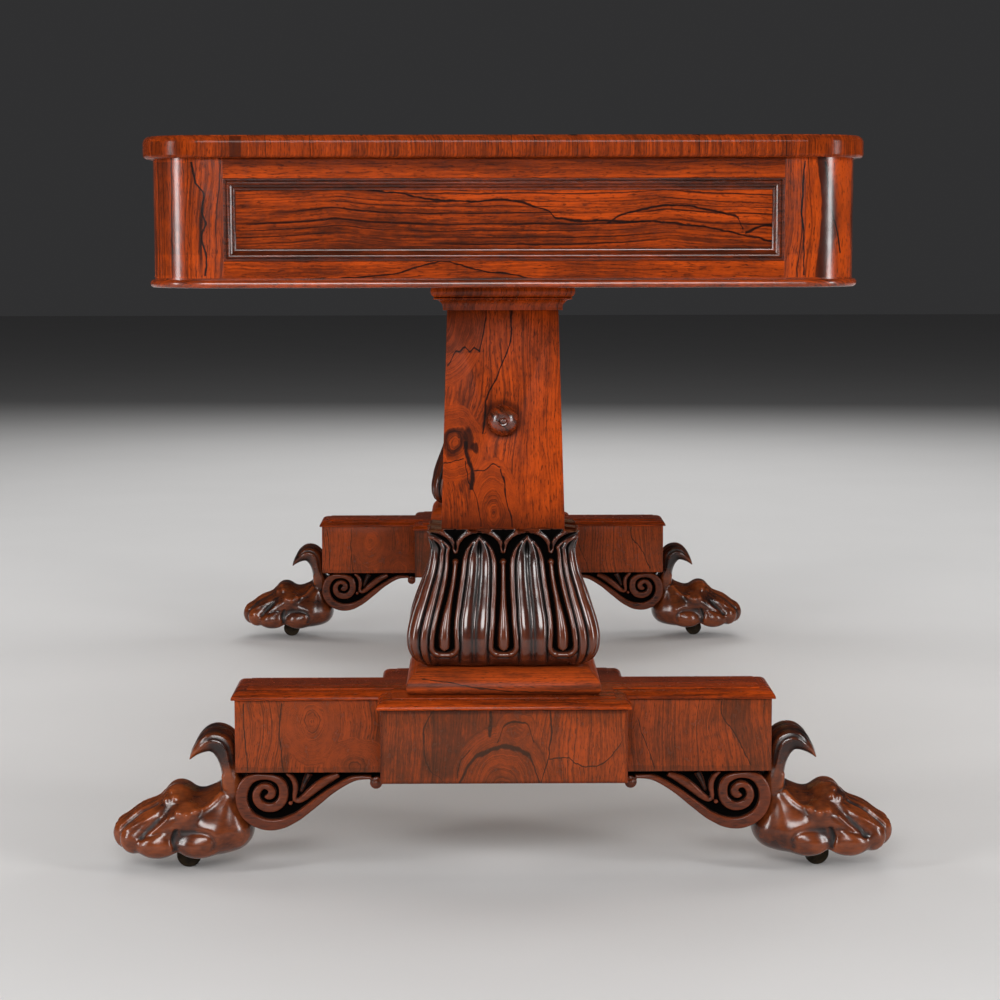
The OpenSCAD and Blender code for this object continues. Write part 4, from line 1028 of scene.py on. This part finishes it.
def darkenGround(piece, half):  # the flat ground between the bands counts as cut, and takes the painted shade of the hollows
    mesh = piece.data
    depth = half - np.abs(1000 * coordinates(piece)[:, 1])
    flat = smoothStep(np.abs(vertexNormals(piece)[:, 1]), 0.5, 0.85) * smoothStep(depth, 3.0, 5.0)
    hollow = np.empty(len(depth), np.float32)
    mesh.attributes["hollow"].data.foreach_get("value", hollow)
    mesh.attributes["hollow"].data.foreach_set("value", np.maximum(hollow, flat).astype(np.float32))


def makeBrackets(look):
    half, ground = look["half"], look["ground"]
    x, z, radius = look["disc"]
    top = 1000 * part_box("plinth_arms_near")[0].z
    block = 1000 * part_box("plinth_block_near")[1].x
    under = [(p[0], p[1]) for p in look["band"][1:8]]
    circle = [(x + radius * math.cos(a), z + radius * math.sin(a)) for a in np.radians(range(-100, 78, 8))]
    outline = [(block, top), (block, 97), (133, 98), *under, *circle, (x + radius + 1.5, top)]
    parts = [slab(outline, -ground, ground)]
    parts += [ribbon(look[key], half - back, corner) for key, (back, corner) in look["ribbons"].items()]
    cx, cz, cr = look["curl"]
    wheel = [(cx + cr * math.cos(a), cz + cr * math.sin(a)) for a in np.radians(range(0, 360, 15))]
    parts.append(slab(wheel, look["curlBack"] - half, half - look["curlBack"]))
    bx, bz, br = look["berry"]
    for side in sides.values():
        out = side * (half - look["bossBack"])
        parts.append(ball((bx, out, bz), (br, br, br)))
        parts.append(ball((cx, out, cz), look["curlBoss"]))
    carved = join(parts)
    melt(carved, look["voxel"], 2)
    markHollows(carved, *look["hollows"])
    darkenGround(carved, half)
    shadeSmooth(carved, 60)
    for end in ends:
        node = "volute_brackets_" + end
        for side, sign in sides.items():
            twin = duplicate(carved)
            placed(twin, "carved_volute_" + side + "_" + end, standing(node, sign, 0), "volutes", node)
    bpy.data.objects.remove(carved)
    print("volute brackets", len(twin.data.polygons))


makeBrackets(volute)


# Paw feet, drawn for the right side with x from the end of the arm and both halves alike
paw = {
    "masses": [  # centre, radii, tilt
        ((11, 0, 40), (23, 22, 17), 0),
        ((12, 17, 40), (22, 17, 16.5), 0),
        ((17, 0, 64), (17, 28, 20), 0),
        ((6, 0, 90), (8, 24, 38), 0),
        ((34, 0, 57), (24, 27, 20), 0),
        ((52, 0, 36), (47, 27, 14), 2),
        ((57, 9, 64), (15, 14, 18), 0),
        ((44, 24, 48), (30, 15, 14), 0),
        ((26, 27, 37), (15, 14, 14), 0),
    ],
    "balls": [
        ((59, 12, 74.5), (12.5, 12, 12.5), 0),
        ((57, 0, 74), (12, 9, 12), 0),
        ((49, 31, 61), (13, 12, 11.5), 0),
        ((111.5, 10, 36), (12.5, 9.0, 15), 12),
        ((103, 27.5, 34), (12, 10, 13.5), 12),
        ((78, 34.5, 30), (20.5, 13, 13.2), 0),
        ((38.5, 34.5, 30), (19.8, 13, 13.2), 0),
    ],
    "toes": [  # points, radii
        ([(60, 11, 74), (75, 10.5, 64), (93, 10, 55), (109, 10, 41)], (11, 9.5, 11, 11)),
        ([(57, 21, 70), (72, 23, 60), (88, 25.5, 51), (101, 27, 38)], (10, 9.5, 10.5, 10.5)),
        ([(50, 31, 60), (62, 33, 52), (72, 34, 43), (80, 34.5, 35)], (11, 10.5, 10, 9)),
    ],
    "broadBlend": 6.0,
    "blend": 2.6,
    # strokes of the gouge along the skin: points, height and width
    "strokes": [
        ([(78, 17.5, 67), (88, 18, 60), (98, 18.5, 52), (110, 18.5, 38)], -1.1, 2.2),
        ([(76, 32, 56), (86, 35, 47), (93, 38, 37)], -1.0, 2.2),
        ([(22, 44, 28), (21, 44, 35), (27, 45, 43), (40, 46.5, 46), (53, 46, 44)], -1.4, 3.0),
        ([(60, 46, 44), (70, 47, 46.5), (84, 46, 45), (95, 42, 40)], -0.9, 2.8),
        ([(58.5, 43, 46), (58.5, 47, 37), (58.5, 44, 24)], -2.0, 2.6),
        ([(76, 3.5, 80), (86, 3.5, 72), (100, 4, 64), (117, 5, 48)], 0.7, 1.6),
        ([(76, 9, 77), (86, 9, 69), (102, 9, 60), (118, 9.5, 45)], 0.7, 1.6),
        ([(76, 14, 73), (86, 14.5, 65), (100, 14.5, 56), (113, 14.5, 43)], 0.6, 1.5),
        ([(74, 22, 69), (82, 23, 62), (93, 23.5, 54), (106, 23, 45)], 0.7, 1.6),
        ([(72, 27, 65), (81, 28.5, 58), (93, 29.5, 50), (105, 29.5, 41)], 0.7, 1.6),
        ([(66, 38, 57), (73, 39, 51), (82, 40, 44)], 0.7, 1.7),
        ([(16, 27, 98), (18, 29.5, 86), (24, 33, 76), (33, 37, 69), (40, 40, 66)], 2.2, 2.8),
    ],
    "bumps": [  # centre, height and width
        ((39, 42, 66), 2.2, 4.0), ((48, 45, 63), 2.3, 4.0), ((57, 43, 65), 2.2, 3.8),
        ((60, 25, 75), 2.2, 4.0), ((69, 24, 74), 2.2, 3.8), ((64, 22, 83), 1.8, 3.8),
    ],
    "scroll": [  # middle x and z, half thickness, half width
        (4, 52, 13, 19), (4.5, 70, 13, 23), (5, 88, 12, 28), (7, 100, 9.8, 29.5), (9.5, 114, 10.3, 29),
        (14, 128, 14, 29), (22, 133.4, 13.6, 28.5), (30.5, 131, 10.6, 27.5), (38, 125.4, 6.4, 25),
        (43.5, 119.6, 3.4, 21), (47.6, 113.8, 0.8, 17),
    ],
    "flutes": 5,
    "pocket": (60, 23.3, 34.8),  # place, radius and height of the castor's pocket
    "sole": 15.5,
    "skins": [(2.0, 3), (1.1, 8)],  # voxel size and rounds of easing, before and with the scroll
    "scrollGrid": (160, 80),
    "hollows": (1.3, 4.5),
}


def scrollShape(look):
    columns, rows = look["scrollGrid"]
    line = curveThrough(look["scroll"], rows + 1)
    slope = np.gradient(line[:, :2], axis=0)
    slope = slope / np.linalg.norm(slope, axis=1)[:, None]

    def shape(around, up):
        row = np.rint(up * rows).astype(int)
        angle = 2 * math.pi * around
        across, out = np.cos(angle), np.sin(angle)
        ridge = np.abs(np.cos(look["flutes"] * angle)) ** 0.7
        flute = 1 + 0.10 * (ridge - 0.5) * smoothStep(out, -0.25, 0.3) * smoothStep(line[row, 1], 84, 112)
        wide = line[row, 3] * np.sign(across) * np.abs(across) ** 0.8 * flute
        thick = line[row, 2] * np.sign(out) * np.abs(out) ** 0.75 * flute
        x = line[row, 0] - slope[row, 1] * thick
        z = line[row, 1] + slope[row, 0] * thick
        return np.column_stack([x, wide, z])

    return wrapped(columns, rows, shape)


def mirrored(points, sign):
    return [(x, sign * y, z) for x, y, z in points]


def onSkin(piece, points):
    return np.array([1000 * np.array(piece.closest_point_on_mesh(mm * Vector(p))[1]) for p in points])


def carveSkin(piece, strokes):  # pushes the skin out or in along strokes that lie on it
    spots = coordinates(piece) * 1000
    lift = np.zeros(len(spots))
    for points, height, width in strokes:
        line = onSkin(piece, curveThrough(points, 16 * len(points)) if len(points) > 1 else points)
        reach = 2.6 * width
        near = np.all((spots > line.min(0) - reach) & (spots < line.max(0) + reach), axis=1)
        away = np.full(near.sum(), 1e9)
        for place in line:
            away = np.minimum(away, ((spots[near] - place) ** 2).sum(1))
        lift[near] += height * np.exp(-away / width ** 2)
    setCoordinates(piece, mm * (spots + vertexNormals(piece) * lift[:, None]))


def ballDistance(spots, centre, radii, tilt):
    turn = np.array(Matrix.Rotation(math.radians(tilt), 3, "Y"))
    away = (spots - centre) @ turn / np.array(radii)
    length = np.linalg.norm(away, axis=1)
    grade = np.linalg.norm(away / np.array(radii), axis=1)
    return length * (length - 1) / np.maximum(grade, 1e-9)


def blended(distances, soft):  # weights and distances of several shapes
    total = sum(weight * np.exp(-np.clip(away, -60, 60) / soft) for weight, away in distances)
    return -soft * np.log(np.maximum(total, 1e-25))


def skinDistance(spots, look):  # signed distance to all the shapes of the body, blended, in mm
    rows = {"masses": [], "balls": []}
    for sign in sides.values():
        for kind, found in rows.items():
            for (x, y, z), radii, tilt in look[kind]:
                weight = 0.5 if y == 0 else 1.0  # a shape on the middle line comes twice
                found.append((weight, ballDistance(spots, (x, sign * y, z), radii, tilt)))
        for points, radii in look["toes"]:
            spine = curveThrough([(*p, r) for p, r in zip(mirrored(points, sign), radii)], 14)
            nearest = np.min([np.linalg.norm(spots - spot[:3], axis=1) - spot[3] for spot in spine], axis=0)
            rows["balls"].append((1.0, nearest))
    return blended([(1.0, blended(rows["masses"], look["broadBlend"])), *rows["balls"]], look["blend"])


def settle(piece, look, rounds):  # draws the vertices on to the blended skin
    nudge = 0.2
    for _ in range(rounds):
        spots = coordinates(piece) * 1000
        here = skinDistance(spots, look)
        nudges = nudge * np.eye(3)
        slope = np.column_stack([(skinDistance(spots + step, look) - here) / nudge for step in nudges])
        steep = np.maximum((slope ** 2).sum(1), 0.05)
        setCoordinates(piece, mm * (spots - slope * (np.clip(here, -3, 3) / steep)[:, None]))
        applied(piece, "SMOOTH", {"factor": 0.4, "iterations": 1})


def makePaws(look):
    body = []
    for sign in sides.values():
        rows = look["masses"] + look["balls"]
        body += [ball((x, sign * y, z), radii, tilt) for (x, y, z), radii, tilt in rows]
        body += [limb(mirrored(points, sign), radii) for points, radii in look["toes"]]
    carved = join(body)
    first, second = look["skins"]
    melt(carved, *first)
    settle(carved, look, 4)
    carved = join([carved, scrollShape(look)])
    melt(carved, *second)
    strokes = [*look["strokes"], *[([centre], height, width) for centre, height, width in look["bumps"]]]
    carveSkin(carved, [(mirrored(points, sign), height, width)
                       for points, height, width in strokes for sign in sides.values()])
    applied(carved, "SMOOTH", {"factor": 0.5, "iterations": 1})
    place, radius, height = look["pocket"]
    deselect()
    bpy.ops.mesh.primitive_cylinder_add(vertices=64, radius=mm * radius, depth=mm * height * 2,
                                        location=(mm * place, 0, 0))
    cutter = bpy.context.object
    applied(carved, "BOOLEAN", {"operation": "DIFFERENCE", "object": cutter, "solver": "EXACT"})
    bpy.data.objects.remove(cutter)
    spots = coordinates(carved)
    spots[:, 2] = np.maximum(spots[:, 2], mm * look["sole"])
    low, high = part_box("paw_right_near")
    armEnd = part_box("plinth_arms_near")[1].x
    stretch = (high.x - armEnd - 0.2 * mm) / spots[:, 0].max()
    spots[:, 0] = np.where(spots[:, 0] > 0, spots[:, 0] * stretch, spots[:, 0])
    spots[:, 1] *= min(1, (high.y - low.y) / 2 / spots[:, 1].max())
    setCoordinates(carved, spots)
    markHollows(carved, *look["hollows"])
    shadeSmooth(carved, 60)
    for end in ends:
        for side, sign in sides.items():
            node = "paw_" + side + "_" + end
            twin = duplicate(carved)
            placed(twin, "carved_" + node, standing(node, sign, sign * armEnd), "paws", node)
    bpy.data.objects.remove(carved)
    print("paw feet", len(twin.data.polygons))


makePaws(paw)


# Cushions: a block that rises in steps with a rounded side
cushion = {
    "inset": [(0, 3.2), (1.2, 2.0), (2.6, 1.0), (4.4, 0.3), (6.6, 0.0), (9, 0.2), (11.4, 0.8), (13.8, 1.8),
              (16, 3.1), (18, 4.8), (19.8, 6.8), (21.4, 9.0), (22.8, 11.5), (24, 14.5), (24.7, 16.5),
              (25.0, 18.0)],  # height and how far the side stands back there
    "mitre": 1.1,  # width of the eased mitre lines
}


def makeCushion(look, end):
    node = "cushion_" + end
    low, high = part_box(node)
    wide, deep = (high.x - low.x) / 2, (high.y - low.y) / 2
    deselect()
    bpy.ops.mesh.primitive_plane_add(size=2)
    piece = bpy.context.object
    rise = (high.z - low.z) / look["inset"][-1][0]
    bpy.ops.object.mode_set(mode="EDIT")
    now = (1.0, 1.0)
    before = look["inset"][0][0]
    for height, inset in look["inset"]:
        if height > before:
            step = (0, 0, rise * (height - before))
            bpy.ops.mesh.extrude_region_move(TRANSFORM_OT_translate={"value": step})
        size = (wide - mm * inset, deep - mm * inset)
        bpy.ops.transform.resize(value=(size[0] / now[0], size[1] / now[1], 1))
        now, before = size, height
    closeSkin()
    bevel(piece, look["mitre"], 50)
    shadeSmooth(piece, 35)
    placed(piece, "rounded_cushion_" + end, standing(node), "cushions", node)


# Flat pieces over again, with their arrises eased
arrises = {"plinth_block": 0.8, "plinth_arms": 0.8, "plinth_cap": 0.5, "column": 0.8, "capital": 0.4}


def easeArrises(node, width):
    piece = duplicate(nodes[node])
    selectOnly(piece)
    bpy.ops.object.mode_set(mode="EDIT")
    bpy.ops.mesh.select_all(action="SELECT")
    bpy.ops.mesh.remove_doubles(threshold=0.02 * mm)
    bpy.ops.mesh.dissolve_limited(angle_limit=math.radians(0.5))
    bpy.ops.object.mode_set(mode="OBJECT")
    bevel(piece, width, 40)
    shadeSmooth(piece, 35)
    placed(piece, "eased_" + node, Matrix.Identity(4), finishFor(node), node)


for end in ends:
    makeCushion(cushion, end)
    for part, width in arrises.items():
        easeArrises(part + "_" + end, width)
print("cushions and arrises")


# Panel mouldings: a fillet, a bead and a hollow run round each panel
frameLook = {
    # distance inwards from the outer edge and height as a share of the moulding's
    "section": [(0, 0), (0, 0.92), (0.5, 1.0), (1.7, 1.0), (2.2, 0.94), (2.3, 0.78), (2.8, 0.78), (3.1, 0.88),
                (3.8, 0.96), (4.6, 0.97), (5.5, 0.93), (6.2, 0.82), (6.5, 0.68), (6.9, 0.64), (7.5, 0.60),
                (8.2, 0.50), (8.8, 0.38), (9.4, 0.29), (10.2, 0.24), (10.9, 0.22), (11, 0)],
}


def makeFrame(look, name, spots, turn):  # spots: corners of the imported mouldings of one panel
    low, high = spots.min(0), spots.max(0)
    middle = (low + high) / 2
    half = (high - low) / 2
    long, deep = (half[0], half[1]) if abs(math.cos(turn)) > 0.5 else (half[1], half[0])
    section = look["section"]
    count = len(section)

    def shape(around, up):
        at = np.rint(around * count).astype(int) % count
        corner = np.rint(up * 4).astype(int) % 4
        inward, rise = np.array(section)[at].T
        x = (1000 * long - inward) * np.where((corner == 0) | (corner == 3), 1, -1)
        z = (1000 * half[2] - inward) * np.where(corner < 2, 1, -1)
        return np.column_stack([x, -rise * 2000 * deep, z])

    piece = wrapped(count, 4, shape)
    shadeSmooth(piece, 30)
    back = (middle[0] - deep * math.sin(turn), middle[1] + deep * math.cos(turn), middle[2])
    place = Matrix.Translation(back) @ Matrix.Rotation(turn, 4, "Z")
    placed(piece, name, place, "mouldings", "panel_mouldings")


endFace, sideFace = 0.86, -0.30  # the end mouldings lie beyond the one, the side's beyond the other
packed = coordinates(nodes["panel_mouldings"])
for end, sign in ends.items():
    atEnd = sign * packed[:, 1] > endFace
    makeFrame(frameLook, "panel_frame_" + end, packed[atEnd], 0 if sign < 0 else math.pi)
    onSide = (packed[:, 0] < sideFace) & (sign * packed[:, 1] > 0) & ~atEnd
    makeFrame(frameLook, "side_frame_" + end, packed[onSide], -math.pi / 2)
print("panel frames")


# Floor, light and camera
studio = {
    "floor": (0.60, 0.592, 0.586),
    "floorSize": 30.0,
    "world": (0.030, 0.030, 0.031),
    "lamps": [
        # name, place, aim, width, height, power, seen in reflections
        ("front", (-0.3, -4.0, 1.7), (0, -0.6, 0.35), 2.0, 1.0, 96, True),
        ("back", (0.3, 4.2, 2.7), (0, 0.6, 0.35), 3.0, 1.6, 90, False),
        ("overhead", (0.0, 0.0, 3.2), (0, 0, 0), 2.8, 4.0, 45, False),
        ("leftWindow", (-2.5, -2.0, 0.98), (0, -0.75, 0.5), 0.42, 1.7, 42, True),
        ("rightWindow", (2.5, -2.0, 0.98), (0, -0.75, 0.5), 0.42, 1.7, 42, True),
        ("leftFill", (-3.0, 1.2, 1.3), (0, 0.5, 0.4), 1.6, 1.6, 40, False),
        ("rightFill", (3.0, 1.2, 1.3), (0, 0.5, 0.4), 1.6, 1.6, 40, False),
    ],
}


def aim(place, target):
    return (Vector(target) - Vector(place)).to_track_quat("-Z", "Y").to_matrix().to_4x4()


def makeStudio(look):
    deselect()
    bpy.ops.mesh.primitive_plane_add(size=look["floorSize"], location=(0, 0, 0))
    floor = bpy.context.object
    floor.name = "floor"
    f = Finish("floor_paper")
    x, y, z = f.place()
    cloud = f.noise(f.vector(x * 3, y * 3, z), 3)
    colour = f.mix(cloud, look["floor"], tuple(0.94 * c for c in look["floor"]))
    floor.data.materials.append(f.finish({"Base Color": colour, "Roughness": 0.75}))
    world = bpy.data.worlds.new("studio")
    bpy.context.scene.world = world
    world.use_nodes = True
    world.node_tree.nodes["Background"].inputs["Color"].default_value = (*look["world"], 1)
    for name, place, target, width, height, power, reflected in look["lamps"]:
        lamp = bpy.data.lights.new(name, "AREA")
        lamp.shape = "RECTANGLE"
        lamp.size = width
        lamp.size_y = height
        lamp.energy = power
        holder = bpy.data.objects.new(name, lamp)
        bpy.context.scene.collection.objects.link(holder)
        holder.matrix_world = Matrix.Translation(place) @ aim(place, target)
        holder.visible_camera = False
        holder.visible_glossy = reflected


cameraFit = {
    "place": (-0.02831, -3.21124, 0.65097),
    "yaw": 0.01028,
    "pitch": 0.10996,
    "roll": -0.00169,
    "focal": 2485.97,  # in pixels of a frame 1000 wide
}


def makeCamera(fit):
    camera = bpy.data.cameras.new("camera")
    camera.sensor_width = 36
    camera.lens = fit["focal"] * camera.sensor_width / 1000
    camera.clip_end = 100
    holder = bpy.data.objects.new("camera", camera)
    bpy.context.scene.collection.objects.link(holder)
    turn = Matrix.Rotation(-fit["yaw"], 4, "Z") @ Matrix.Rotation(math.pi / 2 - fit["pitch"], 4, "X")
    holder.matrix_world = Matrix.Translation(fit["place"]) @ turn @ Matrix.Rotation(fit["roll"], 4, "Z")
    bpy.context.scene.camera = holder


makeStudio(studio)
makeCamera(cameraFit)
bpy.context.scene.view_settings.view_transform = "Standard"
print("studio ready")
